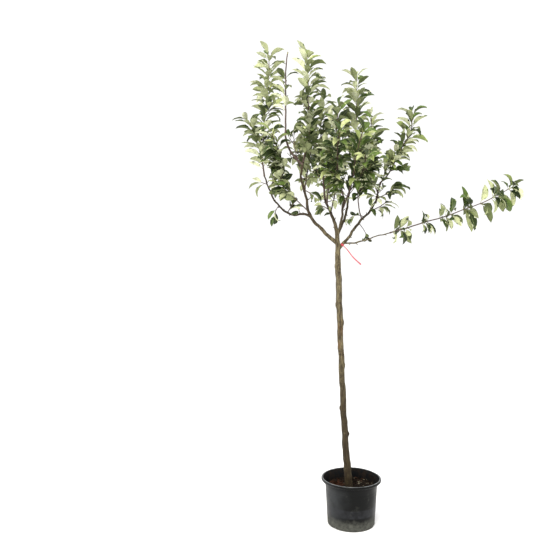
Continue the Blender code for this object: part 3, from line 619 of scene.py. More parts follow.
def soiled_polypropylene(settings):
    """The same polypropylene inside the pot, dulled by dry peat dust."""
    material, tree, shader, place = new_material("black_polypropylene_soiled", Roughness=0.9, IOR=1.49,
                                                 Specular_IOR_Level=0.03)
    # Peat clings in smears 20 mm across
    smears = add(tree, NOISE, {"Vector": place, "Scale": 50, "Detail": 5, "Roughness": 0.6})
    share = add(tree, RANGE, {0: smears, 1: 0.45, 2: 0.75, 4: 0.7})
    # The inside's plastic is the painted sheen's grey, darkened to 0.3
    skin = add(tree, MIX, {0: share, 6: rgba(settings.plastic_sheen, 0.3), 7: rgba(settings.crumb_dry)},
               data_type="RGBA")
    feed(tree, shader, {"Base Color": skin})
    return material


def bark_and_peat(settings):
    """Composted bark and peat: matt brown crumbs, nearly black where damp, and rust-brown where a spill of
    fresher bark lies on it."""
    material, tree, shader, place = new_material("bark_and_peat_loose", Roughness=0.95, IOR=1.4,
                                                 Specular_IOR_Level=0.15)
    # Crumbs are 5 mm across and damp patches 40 mm
    crumbs = add(tree, NOISE, {"Vector": place, "Scale": 200, "Detail": 6, "Roughness": 0.7})
    patches = add(tree, NOISE, {"Vector": place, "Scale": 25, "Detail": 2})
    dry = add(tree, RANGE, {0: crumbs, 1: 0.40, 2: 0.66})
    body = add(tree, MIX, {0: dry, 6: rgba(settings.damp), 7: rgba(settings.crumb)}, data_type="RGBA")
    brown = add(tree, RANGE, {0: patches, 1: 0.48, 2: 0.68, 4: 0.6})
    body = add(tree, MIX, {0: brown, 6: body, 7: rgba(settings.crumb_dry)}, data_type="RGBA")
    away = add(tree, DISTANCE, {0: place, 1: SPILL_AT}, "Value", operation="DISTANCE")
    near = add(tree, RANGE, {0: away, 1: SPILL_REACH, 2: 0.3 * SPILL_REACH})
    fresh = add(tree, MATH, {0: near, 1: crumbs}, operation="MULTIPLY")
    fresh = add(tree, RANGE, {0: fresh, 1: 0.12, 2: 0.5})
    body = add(tree, MIX, {0: fresh, 6: body, 7: rgba(settings.rust)}, data_type="RGBA")
    bump = add(tree, BUMP, {"Height": crumbs, "Distance": 1.8 * MM})
    feed(tree, shader, {"Base Color": body, "Normal": bump})
    return material


def bark_chip(name, colour):
    """Pine bark, shredded: dull, and broken up by fibres darker than the rest."""
    material, tree, shader, place = new_material(name, Roughness=0.9, IOR=1.45, Specular_IOR_Level=0.15)
    # Fibres are 3 mm apart
    fibre = add(tree, NOISE, {"Vector": place, "Scale": 330, "Detail": 4})
    share = add(tree, RANGE, {0: fibre, 1: 0.35, 2: 0.65})
    skin = add(tree, MIX, {0: share, 6: rgba(colour, 0.45), 7: rgba(colour)}, data_type="RGBA")
    feed(tree, shader, {"Base Color": skin})
    return material


def old_bark(settings):
    """Apple bark a few years old: thin and nearly matt, grey-brown, olive above and darker below, with a
    rusty stretch, and broken up by upright streaks, dark scars and pale pores that lie across the stem."""
    material, tree, shader, place = new_material("apple_bark_grown", Roughness=0.72, IOR=1.45,
                                                 Specular_IOR_Level=0.25)
    height = add(tree, SPLIT, {0: place}, "Z")
    low = add(tree, RANGE, {0: height, 1: 0.70, 2: 0.46})
    body = add(tree, MIX, {0: low, 6: rgba(settings.bark), 7: rgba(settings.bark_low)}, data_type="RGBA")
    crown = add(tree, RANGE, {0: height, 1: 1.17, 2: 1.27})
    body = add(tree, MIX, {0: crown, 6: body, 7: rgba(settings.bark_crown)}, data_type="RGBA")
    # Patches are 26 mm across, scars 13 mm, streaks 5.5 mm apart and pores 3 mm wide
    patches = add(tree, NOISE, {"Vector": place, "Scale": 38, "Detail": 3})
    above = add(tree, RANGE, {0: height, 1: 0.66, 2: 0.72})
    below = add(tree, RANGE, {0: height, 1: 0.86, 2: 0.80})
    rusty = add(tree, MATH, {0: above, 1: below}, operation="MULTIPLY")
    spread = add(tree, RANGE, {0: patches, 1: 0.40, 2: 0.58})
    rusty = add(tree, MATH, {0: rusty, 1: spread}, operation="MULTIPLY")
    body = add(tree, MIX, {0: rusty, 6: body, 7: rgba(settings.bark_rust)}, data_type="RGBA")
    pale = add(tree, RANGE, {0: patches, 1: 0.36, 2: 0.26, 4: 0.45})
    body = add(tree, MIX, {0: pale, 6: body, 7: rgba(settings.bark_pale)}, data_type="RGBA")
    upright = add(tree, STRETCH, {"Vector": place, "Scale": (1, 1, 0.16)})
    streaks = add(tree, NOISE, {"Vector": upright, "Scale": 182, "Detail": 5, "Roughness": 0.65})
    dark = add(tree, RANGE, {0: streaks, 1: 0.58, 2: 0.44, 4: 0.78})
    body = add(tree, MIX, {0: dark, 6: body, 7: rgba(settings.bark_dark)}, data_type="RGBA")
    lying = add(tree, STRETCH, {"Vector": place, "Scale": (0.5, 0.5, 1.3)})
    scars = add(tree, NOISE, {"Vector": lying, "Scale": 77, "Detail": 3})
    scarred = add(tree, RANGE, {0: scars, 1: 0.61, 2: 0.69, 4: 0.75})
    body = add(tree, MIX, {0: scarred, 6: body, 7: rgba(settings.bark_dark)}, data_type="RGBA")
    across = add(tree, STRETCH, {"Vector": place, "Scale": (0.55, 0.55, 2.2)})
    pores = add(tree, NOISE, {"Vector": across, "Scale": 312, "Detail": 1})
    porous = add(tree, RANGE, {0: pores, 1: 0.69, 2: 0.78, 4: 0.55})
    body = add(tree, MIX, {0: porous, 6: body, 7: rgba(settings.bark_pale)}, data_type="RGBA")
    bump = add(tree, BUMP, {"Height": streaks, "Distance": 0.6 * MM})
    feed(tree, shader, {"Base Color": body, "Normal": bump})
    return material


def shoot_bark(name, colour, flecks):
    """Bark of a shoot of this year or last: smooth and tight, with a little shine and small pale pores."""
    material, tree, shader, place = new_material(name, Roughness=0.5, IOR=1.45, Specular_IOR_Level=0.3)
    # Pores are 2.6 mm apart and cloudy stretches 14 mm long
    pores = add(tree, NOISE, {"Vector": place, "Scale": 385, "Detail": 2})
    cloud = add(tree, NOISE, {"Vector": place, "Scale": 71, "Detail": 3})
    cloudy = add(tree, RANGE, {0: cloud, 1: 0.35, 2: 0.65, 4: 0.5})
    skin = add(tree, MIX, {0: cloudy, 6: rgba(colour), 7: rgba(flecks)}, data_type="RGBA")
    porous = add(tree, RANGE, {0: pores, 1: 0.62, 2: 0.7, 4: 0.6})
    skin = add(tree, MIX, {0: porous, 6: skin, 7: rgba(flecks)}, data_type="RGBA")
    feed(tree, shader, {"Base Color": skin})
    return material


def leaf_skin(name, hex_colour, roughness):
    """Apple leaf: a waxy upper skin with a soft shine, or a downy matt one below, cloudy in tone."""
    colour, shift = linear(hex_colour), 0.18
    material, tree, shader, place = new_material(name, Roughness=roughness, IOR=1.42, Specular_IOR_Level=0.3)
    # The clouds are 11 mm across, under half of a leaf's width
    cloud = add(tree, NOISE, {"Vector": place, "Scale": 91, "Detail": 2})
    share = add(tree, RANGE, {0: cloud, 1: 0.34, 2: 0.66})
    skin = add(tree, MIX, {0: share, 6: rgba(colour, 1 - shift), 7: rgba(colour, 1 + shift)},
               data_type="RGBA")
    feed(tree, shader, {"Base Color": skin})
    return material


def thin_polythene(settings):
    """Red polythene strip, blown thin and cut: soft shine, dusty and faded towards its free end."""
    material, tree, shader, place = new_material("red_polythene_strip", Roughness=0.42, IOR=1.5)
    height = add(tree, SPLIT, {0: place}, "Z")
    # Dust lies in clouds 9 mm across
    cloud = add(tree, NOISE, {"Vector": place, "Scale": 111, "Detail": 4})
    faded = add(tree, RANGE, {0: height, 1: 1.16, 2: 1.07, 4: 0.9})
    cloudy = add(tree, RANGE, {0: cloud, 1: 0.3, 2: 0.7, 3: 0.5, 4: 1.0})
    share = add(tree, MATH, {0: faded, 1: cloudy}, operation="MULTIPLY")
    skin = add(tree, MIX, {0: share, 6: rgba(settings.strap), 7: rgba(settings.strap_faded)},
               data_type="RGBA")
    feed(tree, shader, {"Base Color": skin})
    return material


def studio_paint(name, colour):
    """Matt white emulsion on a studio floor."""
    material, tree, shader, _ = new_material(name, Roughness=0.9)
    feed(tree, shader, {"Base Color": rgba(colour)})
    return material


# Meshes

def put(name, data):
    """A new object at the origin of the scene, for a mesh, a curve, a lamp or a camera."""
    made = bpy.data.objects.new(name, data)
    bpy.context.scene.collection.objects.link(made)
    return made


def new_piece(name, mesh, materials, slot, *nodes):
    """An object for a finished mesh, riding on the tree's one body in place of the nodes it replaces."""
    for material in materials:
        mesh.materials.append(material)
    piece = put(name, mesh)
    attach(piece, BODY)
    if nodes:
        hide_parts(*nodes)
    return piece


def shade(mesh, smooth_to):
    """Shade a mesh smooth, but for edges sharper than an angle in degrees."""
    mesh.shade_smooth()
    mesh.set_sharp_from_angle(angle=radians(smooth_to))


def plain_mesh(name, bm):
    """Turn a bmesh into a mesh as it stands."""
    mesh = bpy.data.meshes.new(name)
    bm.to_mesh(mesh)
    bm.free()
    return mesh


def mesh_from_bmesh(name, bm, smooth_to):
    """Turn a bmesh into a mesh with outward faces, smooth up to an angle in degrees."""
    bmesh.ops.recalc_face_normals(bm, faces=bm.faces)
    mesh = plain_mesh(name, bm)
    shade(mesh, smooth_to)
    return mesh


def mesh_from_arrays(name, points, faces, slots, smooth_to):
    """A joined mesh from arrays of points, faces of one size or several, and each face's material slot."""
    mesh = bpy.data.meshes.new(name)
    mesh.from_pydata(points.tolist(), [], faces)
    mesh.polygons.foreach_set("material_index", slots)
    mesh.update()
    shade(mesh, smooth_to)
    return mesh


def unit(vector):
    """The vector at length 1."""
    return vector / np.linalg.norm(vector)


# Wood

def limb_points(start, limb):
    """Points along a limb, by walking it in short steps, with heading and rise running evenly along it."""
    steps = (np.arange(TUBE_STEPS) + 0.5) / TUBE_STEPS
    heading = np.radians(np.interp(steps, np.linspace(0, 1, len(limb.heading)), limb.heading))
    rise = np.radians(np.interp(steps, np.linspace(0, 1, len(limb.rise)), limb.rise))
    flat = np.cos(rise)
    way = np.stack([flat * np.cos(heading), flat * np.sin(heading), np.sin(rise)], axis=1)
    step = limb.length * MM / TUBE_STEPS
    return np.vstack([start, start + np.cumsum(way * step, axis=0)])


def limb_radii(limb):
    """Radii along a limb: the trunk's follow its girths, and any other's taper from a swollen collar."""
    along = np.linspace(0, 1, TUBE_STEPS + 1)
    if limb.name == "trunk":
        return np.interp(along, *zip(*TRUNK_GIRTH)) * MM / 2
    collar = 1 + COLLAR * np.exp(-along * limb.length / limb.foot)
    return (limb.foot + (limb.tip - limb.foot) * along) * collar * MM / 2


def place_on(points, place):
    """The point at a share of the way along a limb's points."""
    at = place * TUBE_STEPS
    low = int(min(at, TUBE_STEPS - 1))
    return points[low] + (points[low + 1] - points[low]) * (at - low)


def length_of(name):
    """The length of the trunk or of a bough, in millimetres."""
    return next(limb.length for limb in (TRUNK, *BOUGHS) if limb.name == name)


def kinked(points, limb, share, rng):
    """A limb's line with the small bends that its nodes give it, none at its foot."""
    way = unit(points[-1] - points[0])
    east = unit(np.cross(way, SIDEWAYS))
    along = np.linspace(0, limb.length, TUBE_STEPS + 1)
    ease = np.minimum(1, along / KINK_EASE)
    bent = points.copy()
    for wave, size in KINKS:
        for side in (east, np.cross(way, east)):
            swing = np.sin(along * tau / wave + rng.uniform(0, tau)) * size * share * MM
            bent += np.outer(swing * ease, side)
    return bent


def walk_limbs():
    """Points and radii of every limb and shoot stem, by name, each starting on its parent's axis."""
    walked = {}
    rng = np.random.default_rng(SEED)
    for limb in (TRUNK, *BOUGHS, *SHOOTS, *SPURS):
        start = np.array(TRUNK_FOOT) if not limb.parent else place_on(walked[limb.parent][0], limb.place)
        if limb.place == 1.0:
            start = place_on(walked[limb.parent][0], 1 - TIP_LAP / length_of(limb.parent))
        points, radii = limb_points(start, limb), limb_radii(limb)
        if limb is not TRUNK:
            points = kinked(points, limb, 1 if limb in BOUGHS else SHOOT_KINK, rng)
            radii = radii * (np.linspace(*BOUGH_SLIM, TUBE_STEPS + 1) if limb in BOUGHS else limb.stout)
        walked[limb.name] = (points, radii)
    return walked


def spaced(points, radii, count):
    """The same line and radii at a number of even places along it."""
    along = np.linspace(0, 1, count)
    was = np.linspace(0, 1, len(points))
    line = np.stack([np.interp(along, was, points[:, axis]) for axis in range(3)], axis=1)
    return line, np.interp(along, was, radii)


def bark_tube(points, radii, sides):
    """A closed round tube through the points, as a bevelled curve turned into a bmesh."""
    curve = bpy.data.curves.new("limb", "CURVE")
    curve.dimensions = "3D"
    curve.use_fill_caps = True
    curve.bevel_depth = 1.0
    curve.bevel_resolution = sides // 2 - 2
    spline = curve.splines.new("POLY")
    spline.points.add(len(points) - 1)
    for point, place, radius in zip(spline.points, points, radii):
        point.co = (*place, 1)
        point.radius = radius
    guide = put("limb", curve)
    mesh = bpy.data.meshes.new_from_object(guide.evaluated_get(bpy.context.evaluated_depsgraph_get()))
    bpy.data.objects.remove(guide)
    bm = bmesh.new()
    bm.from_mesh(mesh)
    bpy.data.meshes.remove(mesh)
    bmesh.ops.remove_doubles(bm, verts=bm.verts, dist=MERGED)
    bmesh.ops.recalc_face_normals(bm, faces=bm.faces)
    return bm


def noise_at(point, pitch):
    """Noise at a point, with its pitch along x, y and z."""
    return noise.noise(Vector([part * times for part, times in zip(point, pitch)]))


def relief_at(point, depth):
    """How far bark stands out at a point: broad lumps, upright ridges and small cross-lying pores."""
    lumps = noise_at(point, LUMP_PITCH) * LUMP_SHARE
    ridges = noise_at(point, RIDGE_PITCH) * RIDGE_SHARE
    pores = max(0.0, noise_at(point, PORE_PITCH) - PORE_FROM) * PORE_SHARE
    return (lumps + ridges + pores) * depth * MM


def knot_swell(point, knots):
    """How far the knots near a point push the bark out: a rounded shoulder with a dimple in its middle."""
    swell = 0.0
    for centre, width, rise in knots:
        reach = (point - centre).length / (width * MM)
        if reach < KNOT_REACH:
            dimple = DIMPLE_DEPTH * np.exp(-(reach * DIMPLE_FOCUS) ** 2)
            swell += rise * MM * (np.exp(-reach**2) - dimple)
    return swell


def root_flare(point):
    """The uneven swelling of the trunk's foot, where its main roots leave it."""
    turn = np.arctan2(point.y - TRUNK_FOOT.y, point.x - TRUNK_FOOT.x)
    swell = FLARE_SWELL
    for size, lobes, shift in FLARE_LOBES:
        swell += size * cos(lobes * turn + shift)
    return np.exp(-(point.z - TRUNK_FOOT.z) / FLARE_FADE) * swell * MM


def knots_on(limb, points, radii, rng):
    """Small knots spread along a bough, on seeded sides of it."""
    knots = []
    for place in np.arange(*KNOT_STRETCH, KNOT_PITCH / limb.length):
        i = int(place * TUBE_STEPS)
        way = Vector(points[i + 1] - points[i]).normalized()
        out = way.orthogonal()
        out.rotate(Matrix.Rotation(rng.uniform(0, tau), 3, way))
        size = radii[i] / MM
        knots.append((Vector(points[i]) + out * radii[i], size * rng.uniform(*KNOT_WIDTHS),
                      size * rng.uniform(*KNOT_RISES)))
    return knots


def knots_on_trunk(points, radii):
    """The pruned knots of the trunk, each at its height and turn from the front."""
    knots = []
    for height, turn, width, rise in TRUNK_KNOTS:
        i = int(np.argmin(np.abs(points[:, 2] - height)))
        out = Vector((sin(radians(turn)), -cos(radians(turn)), 0))
        knots.append((Vector(points[i]) + out * radii[i], width, rise))
    return knots


def build_limb(limb, walked, material, settings, rng):
    """One limb's bark: its round tube, pushed in and out by the relief, its knots and the trunk's flare."""
    points, radii = walked[limb.name]
    count = int(limb.length / BARK_RING) + 1
    if limb is TRUNK:
        points = kinked(points, limb, TRUNK_KINK, np.random.default_rng(SEED))
        knots, sides, depth = knots_on_trunk(points, radii), TRUNK_SIDES, settings.relief * TRUNK_RELIEF
    else:
        knots, sides, depth = knots_on(limb, points, radii, rng), BOUGH_SIDES, settings.relief * BOUGH_RELIEF
    bm = bark_tube(*spaced(points, radii, count), sides)
    moves = []
    for v in bm.verts:
        swell = relief_at(v.co, depth) + knot_swell(v.co, knots)
        if limb is TRUNK:
            swell += root_flare(v.co)
        moves.append(v.co + v.normal * swell)
    for v, place in zip(bm.verts, moves):
        v.co = place
    mesh = mesh_from_bmesh(limb.name + "_bark", bm, smooth_to=60)
    return new_piece(limb.name + "_bark", mesh, [material], "bark", limb.name)


def build_stubs(walked, material, rng):
    """Short dead spurs that stand out of the boughs, each at its own turn round them."""
    lines = []
    for limb in BOUGHS:
        points, radii = walked[limb.name]
        for place in np.arange(*STUB_STRETCH, STUB_PITCH / limb.length):
            i = int(place * TUBE_STEPS)
            way = unit(points[i + 1] - points[i])
            east = unit(np.cross(way, SIDEWAYS))
            turn = rng.uniform(0, tau)
            out = unit(east * cos(turn) + np.cross(way, east) * sin(turn) + way * rng.uniform(*STUB_LEAN))
            length = radii[i] + rng.uniform(*STUB_LENGTH) * MM
            line = points[i] + np.outer(np.linspace(0, length, STUB_RINGS), out)
            lines.append((line, np.linspace(STUB_FOOT, STUB_TIP, STUB_RINGS) * MM / 2, 1))
    new_piece("dead_spurs", twig_mesh("dead_spurs", lines), [material], "bark")


# The seeded rule

class Space:
    """Where each shoot may grow: nearer its own stem than any other's, and clear of every limb."""

    def __init__(self, walked):
        self.stems = {shoot.name: walked[shoot.name][0] for shoot in (*SHOOTS, *SPURS)}
        limbs = [walked[limb.name] for limb in (TRUNK, *BOUGHS)]
        self.wood = np.vstack([points for points, _ in limbs])
        self.reach = np.concatenate([radii for _, radii in limbs]) + LIMB_CLEAR

    def holds(self, name, samples):
        """Whether a shoot may reach all of these points."""

        def nearest(cloud):
            return np.linalg.norm(samples[:, None] - cloud[None], axis=2).min(axis=1)

        own = nearest(self.stems[name])
        others = nearest(np.vstack([points for other, points in self.stems.items() if other != name]))
        wood = np.linalg.norm(samples[:, None] - self.wood[None], axis=2)
        return (others > own + SHARE_MARGIN).all() and (wood > self.reach).all()


def leaf_point(leaf, share, side, lift):
    """A point of a leaf at a share of its length: it arches away from its upper face towards its tip."""
    forward = leaf.length * share * (1 - LEAF_PULL * leaf.bend * share)
    fall = leaf.bend * leaf.length * share**2
    return leaf.root + leaf.ahead * forward + leaf.across * side + leaf.up * (lift - fall)


def leaf_samples(leaf):
    """Points spread over a leaf, which have to lie in the shoot's own space and clear of every limb."""
    found = []
    for share in np.linspace(0.2, 1.0, 9):
        half = LEAF_WIDTH / 2 * leaf.length * min(share / LEAF_WIDEST, (1 - share) / (1 - LEAF_WIDEST))
        for side in (-half, -half / 2, 0, half / 2, half):
            found.append(leaf_point(leaf, share, side, abs(side) * LEAF_FOLD))
    return np.array(found)


def leaf_at(at, way, turn, spread, length, droop, youth, rng):
    """A leaf that roots at a point of a twig and leaves it at a turn round it and a spread from its way."""
    east = unit(np.cross(way, SIDEWAYS))
    north = np.cross(way, east)
    out = east * cos(radians(turn)) + north * sin(radians(turn))
    sag = np.array((0, 0, droop * rng.uniform(*LEAF_SAG)))
    ahead = unit(way * cos(spread) + out * sin(spread) - sag)
    over = way + SKYWARD
    up = unit(over - ahead * np.dot(over, ahead))
    across = np.cross(up, ahead)
    hanging = droop > HANGING_DROOP
    roll = radians(rng.uniform(-1, 1) * (HANGING_ROLL if hanging else LEAF_ROLL))
    across, up = across * cos(roll) + up * sin(roll), up * cos(roll) - across * sin(roll)
    bend = rng.uniform(*LEAF_BEND) * (HANGING_BEND if hanging else 1)
    return Leaf(at, ahead, across, up, length, bend, youth)


def apart(blade, blades):
    """Whether a leaf keeps clear of the leaves that grew before it."""
    if not blades:
        return True
    grown = np.vstack(blades)
    near = grown[np.linalg.norm(grown - blade[len(blade) // 2], axis=1) < LEAF_NEAR]
    if not len(near):
        return True
    return np.linalg.norm(blade[:, None] - near[None], axis=2).min() > LEAF_CLEAR


def lengths_along(points):
    """The distance along a line to each of its points."""
    return np.concatenate([[0], np.cumsum(np.linalg.norm(np.diff(points, axis=0), axis=1))])


def even_spots(length, first, last, pitch):
    """Places of leaves at an even pitch: how far up the twig, how many leaves short of its tip, and size.

    Where the twig is bare above its last leaf, that leaf has its full size.
    """
    end = last * length - 1 * MM
    spots = [*np.arange(first * length, end - pitch * MM / 2, pitch * MM), end]
    below = [len(spots) - 1 - i if last == 1.0 else YOUNG_LEAVES for i in range(len(spots))]
    return [(spot, from_tip, 1.0) for spot, from_tip in zip(spots, below)]


def rosette_spots(length, rosettes, rng):
    """Places of leaves that stand together in rosettes, in the same form."""
    return [(place * length + rng.uniform(-1, 1) * ROSETTE_SPAN * MM, YOUNG_LEAVES,
             size * rng.uniform(*ROSETTE_SIZES)) for place, number, size in rosettes for _ in range(number)]


def leaves_along(points, spots, size, droop, youth, fits, blades, rng, open_to):
    """Leaves up a twig, each a golden step round it from the last, shorter and closer to it towards its tip.

    A leaf that doesn't fit is turned on by another step, and after a few tries it is left out.
    """
    along = lengths_along(points)
    turn = rng.uniform(0, 360)
    leaves = []
    for spot, from_tip, share in spots:
        young = min(1.0, YOUNG_SIZE + (1 - YOUNG_SIZE) * from_tip / YOUNG_LEAVES)
        spot = min(spot, along[-1] - 1 * MM)
        k = min(np.searchsorted(along, spot, side="right"), len(points) - 1)
        at = np.array([np.interp(spot, along, points[:, axis]) for axis in range(3)])
        way = unit(points[k] - points[k - 1])
        for _ in range(TRIES):
            turn += GOLDEN_STEP + rng.uniform(-STEP_SLACK, STEP_SLACK)
            opened = open_to or TIP_SPREAD + SPREAD_STEP * min(from_tip, YOUNG_LEAVES)
            spread = radians(opened * rng.uniform(*SPREAD_SHARES))
            length = size * share * MM * young * rng.uniform(*LENGTH_SHARES)
            leaf = leaf_at(at, way, turn, spread, length, droop, youth * spot / along[-1], rng)
            blade = leaf_samples(leaf)
            if fits(blade) and apart(blade, blades):
                leaves.append(leaf)
                blades.append(blade)
                break
    return leaves


def side_twigs(shoot, points, fits, rng):
    """Side twigs of a shoot, round it by golden steps, longest low down, each turning up towards its tip."""
    twigs = []
    turn = rng.uniform(0, 360)
    for i in range(shoot.sides):
        share = shoot.leafy[0] + (TWIG_LAST - shoot.leafy[0]) * (i + TWIG_FIRST) / shoot.sides
        for _ in range(TRIES):
            turn += GOLDEN_STEP + rng.uniform(-TWIG_SLACK, TWIG_SLACK)
            length = shoot.side_length * (1 - TWIG_SHORTER * i / shoot.sides) * rng.uniform(*TWIG_LENGTHS)
            rise = rng.uniform(*TWIG_RISE)
            heading = (turn, turn + rng.uniform(-TWIG_SLACK, TWIG_SLACK))
            limb = Limb("twig", shoot.name, share, length, heading, (rise, rise + TWIG_LIFT), TWIG_FOOT,
                        TWIG_TIP)
            path = limb_points(place_on(points, share), limb)
            if fits(path[TWIG_HELD:]):
                twigs.append((limb, path))
                break
    return twigs


def grow(shoot, walked, space, settings, rng):
    """A shoot's twigs and leaves by the seeded rule, leaving out what its space doesn't hold."""
    points = walked[shoot.name][0]
    pitch = shoot.pitch * settings.pitch_share
    size = shoot.leaf * settings.leaf_share
    length = lengths_along(points)[-1]
    blades = []

    def fits(samples):
        return space.holds(shoot.name, samples)

    def leafed(line, spots, share=1.0, open_to=None):
        return leaves_along(line, spots, size * share, shoot.droop, shoot.youth, fits, blades, rng, open_to)

    forks = [(fork, limb_points(place_on(points, fork.place), fork)) for fork in shoot.forks]
    twigs = forks + side_twigs(shoot, points, fits, rng)
    if shoot.rosettes:
        return twigs, leafed(points, rosette_spots(length, shoot.rosettes, rng), open_to=ROSETTE_SPREAD)
    leaves = leafed(points, even_spots(length, *shoot.leafy, pitch))
    for _, path in twigs:
        leaves += leafed(path, even_spots(lengths_along(path)[-1], TWIG_BARE, 1.0, pitch), TWIG_LEAF)
    return twigs, leaves


# Twigs and leaves as joined meshes

def swept(points, radii, sides):
    """Rings of points along a line, which keep their turn from one to the next, with a point at each end."""
    ways = np.gradient(points, axis=0)
    ways /= np.linalg.norm(ways, axis=1)[:, None]
    out = unit(np.cross(ways[0], SIDEWAYS))
    turns = np.linspace(0, tau, sides, endpoint=False)
    rings = [points[:1]]
    for place, way, radius in zip(points, ways, radii):
        out = unit(out - way * np.dot(out, way))
        over = np.cross(way, out)
        rings.append(place + radius * (np.outer(np.cos(turns), out) + np.outer(np.sin(turns), over)))
    return np.vstack([*rings, points[-1:]])


def swept_faces(rings, sides, first):
    """Faces of a swept line with capped ends, counted on from its first point."""
    faces = []
    for k in range(sides):
        after = (k + 1) % sides
        faces.append((first, first + 1 + after, first + 1 + k))
        for ring in range(rings - 1):
            low = first + 1 + ring * sides
            faces.append((low + k, low + after, low + sides + after, low + sides + k))
        top = first + 1 + (rings - 1) * sides
        faces.append((top + k, top + after, first + 1 + rings * sides))
    return faces


def twig_mesh(name, lines):
    """All twigs of a group: each line is its points, its radii, and the share from which it is green."""
    points, faces, slots, first = [], [], [], 0
    for line, radii, green_from in lines:
        rings = swept(line, radii, TWIG_SIDES)
        made = swept_faces(len(line), TWIG_SIDES, first)
        points.append(rings)
        faces += made
        split = green_from * (len(line) - 1)
        slots += [int((face[0] - first - 1) / TWIG_SIDES > split) for face in made]
        first += len(rings)
    return mesh_from_arrays(name, np.vstack(points), faces, slots, smooth_to=70)


def leaf_mesh(name, leaves, deal, settings, rng):
    """All leaves of a group, each lofted through its rings, folded along its midrib, arched and twisted."""
    count = len(leaves)
    length = np.array([leaf.length for leaf in leaves])[:, None]
    bend = np.array([leaf.bend for leaf in leaves])[:, None]
    fold = rng.uniform(FLATTEST * settings.fold, settings.fold, (count, 1))
    curl = 2 * bend + rng.uniform(0.0, settings.curl, (count, 1))
    twist = rng.uniform(-TWIST, TWIST, (count, 1))
    phase = rng.uniform(0, tau, (count, 1))
    wide = rng.uniform(*BLADE_WIDTHS, (count, 1))

    # The midrib's line, from its stretches laid end to end, and the turn of each ring
    middles = (LEAF_STATIONS[1:] + LEAF_STATIONS[:-1]) / 2
    lengths = np.diff(LEAF_STATIONS) * length
    angle = -curl * middles**CURL_EASE
    foot = np.zeros((count, 1))
    ahead = np.hstack([foot, np.cumsum(lengths * np.cos(angle), axis=1)])
    rise = np.hstack([foot, np.cumsum(lengths * np.sin(angle), axis=1)])
    tilt = -curl * LEAF_STATIONS**CURL_EASE

    # Each ring's points, out to the side and up from the midrib
    blade = LEAF_STATIONS > LEAF_STATIONS[1]
    open_ring = LEAF_HALVES > 0
    half = (LEAF_HALVES * np.where(blade, wide, 1.0) * length)[..., None]
    away = np.abs(RING_SIDES)
    side = RING_SIDES * half
    stalk = (STALK_RISE * length * (1 - blade))[..., None]
    crown = (CROWN_RISE * length * blade * open_ring)[..., None]
    rib = (RIB_DEPTH * length * open_ring)[..., None]
    wave = WAVE * length * np.sin(phase + WAVE_STEP * np.arange(len(LEAF_STATIONS))) * blade * open_ring
    lift = fold[..., None] * away * half + crown * 4 * away * (1 - away)
    lift = lift + stalk * STALK_ROUND - rib * (np.arange(RING_SIZE) == RING_SIZE - 1)
    lift = lift + wave[..., None] * EDGES
    turned = (twist * np.clip(LEAF_STATIONS - LEAF_STATIONS[1], 0, None) * TWIST_RATE)[..., None]
    side, lift = side * np.cos(turned) - lift * np.sin(turned), side * np.sin(turned) + lift * np.cos(turned)

    # The same points in the frame of each leaf
    root, on, out, up = (np.stack([getattr(leaf, part) for leaf in leaves])[:, None, None]
                         for part in ("root", "ahead", "across", "up"))
    x = (ahead[..., None] - np.sin(tilt)[..., None] * lift)[..., None]
    z = (rise[..., None] + np.cos(tilt)[..., None] * lift)[..., None]
    points = root + on * x + out * side[..., None] + up * z

    template, parts = leaf_faces()
    size = (len(LEAF_STATIONS) - 1) * RING_SIZE + 1
    kept = points.reshape(count, -1, 3)[:, :size]
    faces = [[first * size + i for i in face] for first in range(count) for face in template]
    slots = [deal[leaf][part] for leaf in range(count) for part in parts]
    return mesh_from_arrays(name, kept.reshape(-1, 3), faces, slots, smooth_to=50)


def leaf_faces():
    """One leaf's faces and the part of the leaf that each belongs to."""
    rings = len(LEAF_STATIONS) - 1
    tip = rings * RING_SIZE
    faces, parts = [tuple(range(RING_SIZE))], [STALK]
    for ring in range(rings):
        low = ring * RING_SIZE
        for k in range(RING_SIZE):
            after = (k + 1) % RING_SIZE
            if ring < rings - 1:
                faces.append((low + after, low + k, low + RING_SIZE + k, low + RING_SIZE + after))
            else:
                faces.append((low + after, low + k, tip))
            parts.append(RING_PARTS[k] if ring else STALK)
    return faces, parts


def deal_colours(leaves, rng):
    """Each leaf's slots for its upper side, underside, midrib and stalk, dealt by its height and youth, with
    height painting light: leaves high in the crown are dealt paler on both sides.
    """
    dealt = []
    for leaf in leaves:
        # Painted light: the higher a leaf stands in the crown, the paler the tones it is dealt
        high = np.clip((leaf.root[2] - CROWN_FROM) / CROWN_HEIGHT, 0, 1)
        fresh = UPPER_YOUTH * leaf.youth + UPPER_PAINTED_LIGHT * high + rng.normal(*UPPER_DRAW)
        # An underside's tone is drawn from lit and shaded copies, the darker ones painted shade
        pale = LOWER_PAINTED_LIGHT * high + rng.normal(*LOWER_DRAW)
        upper = int(np.clip(fresh, 0, 0.999) * len(UPPER_COLOURS))
        lower = len(UPPER_COLOURS) + int(np.clip(pale, 0, 0.999) * len(LOWER_LIT_AND_SHADED_COLOURS))
        rib = len(UPPER_COLOURS) + len(LOWER_LIT_AND_SHADED_COLOURS)
        dealt.append((upper, lower, rib, rib + 1))
    return dealt


def leaf_materials():
    """The leaves' materials, in the order of their slots."""
    uppers = [leaf_skin(f"leaf_upper_{i}", colour, UPPER_ROUGHNESS) for i, colour in enumerate(UPPER_COLOURS)]
    lowers = [leaf_skin(f"leaf_under_{i}", colour, LOWER_ROUGHNESS) for i, colour in enumerate(LOWER_LIT_AND_SHADED_COLOURS)]
    return [*uppers, *lowers, leaf_skin("leaf_midrib", RIB_COLOUR, STALK_ROUGHNESS),
            leaf_skin("leaf_stalk", STALK_COLOUR, STALK_ROUGHNESS)]


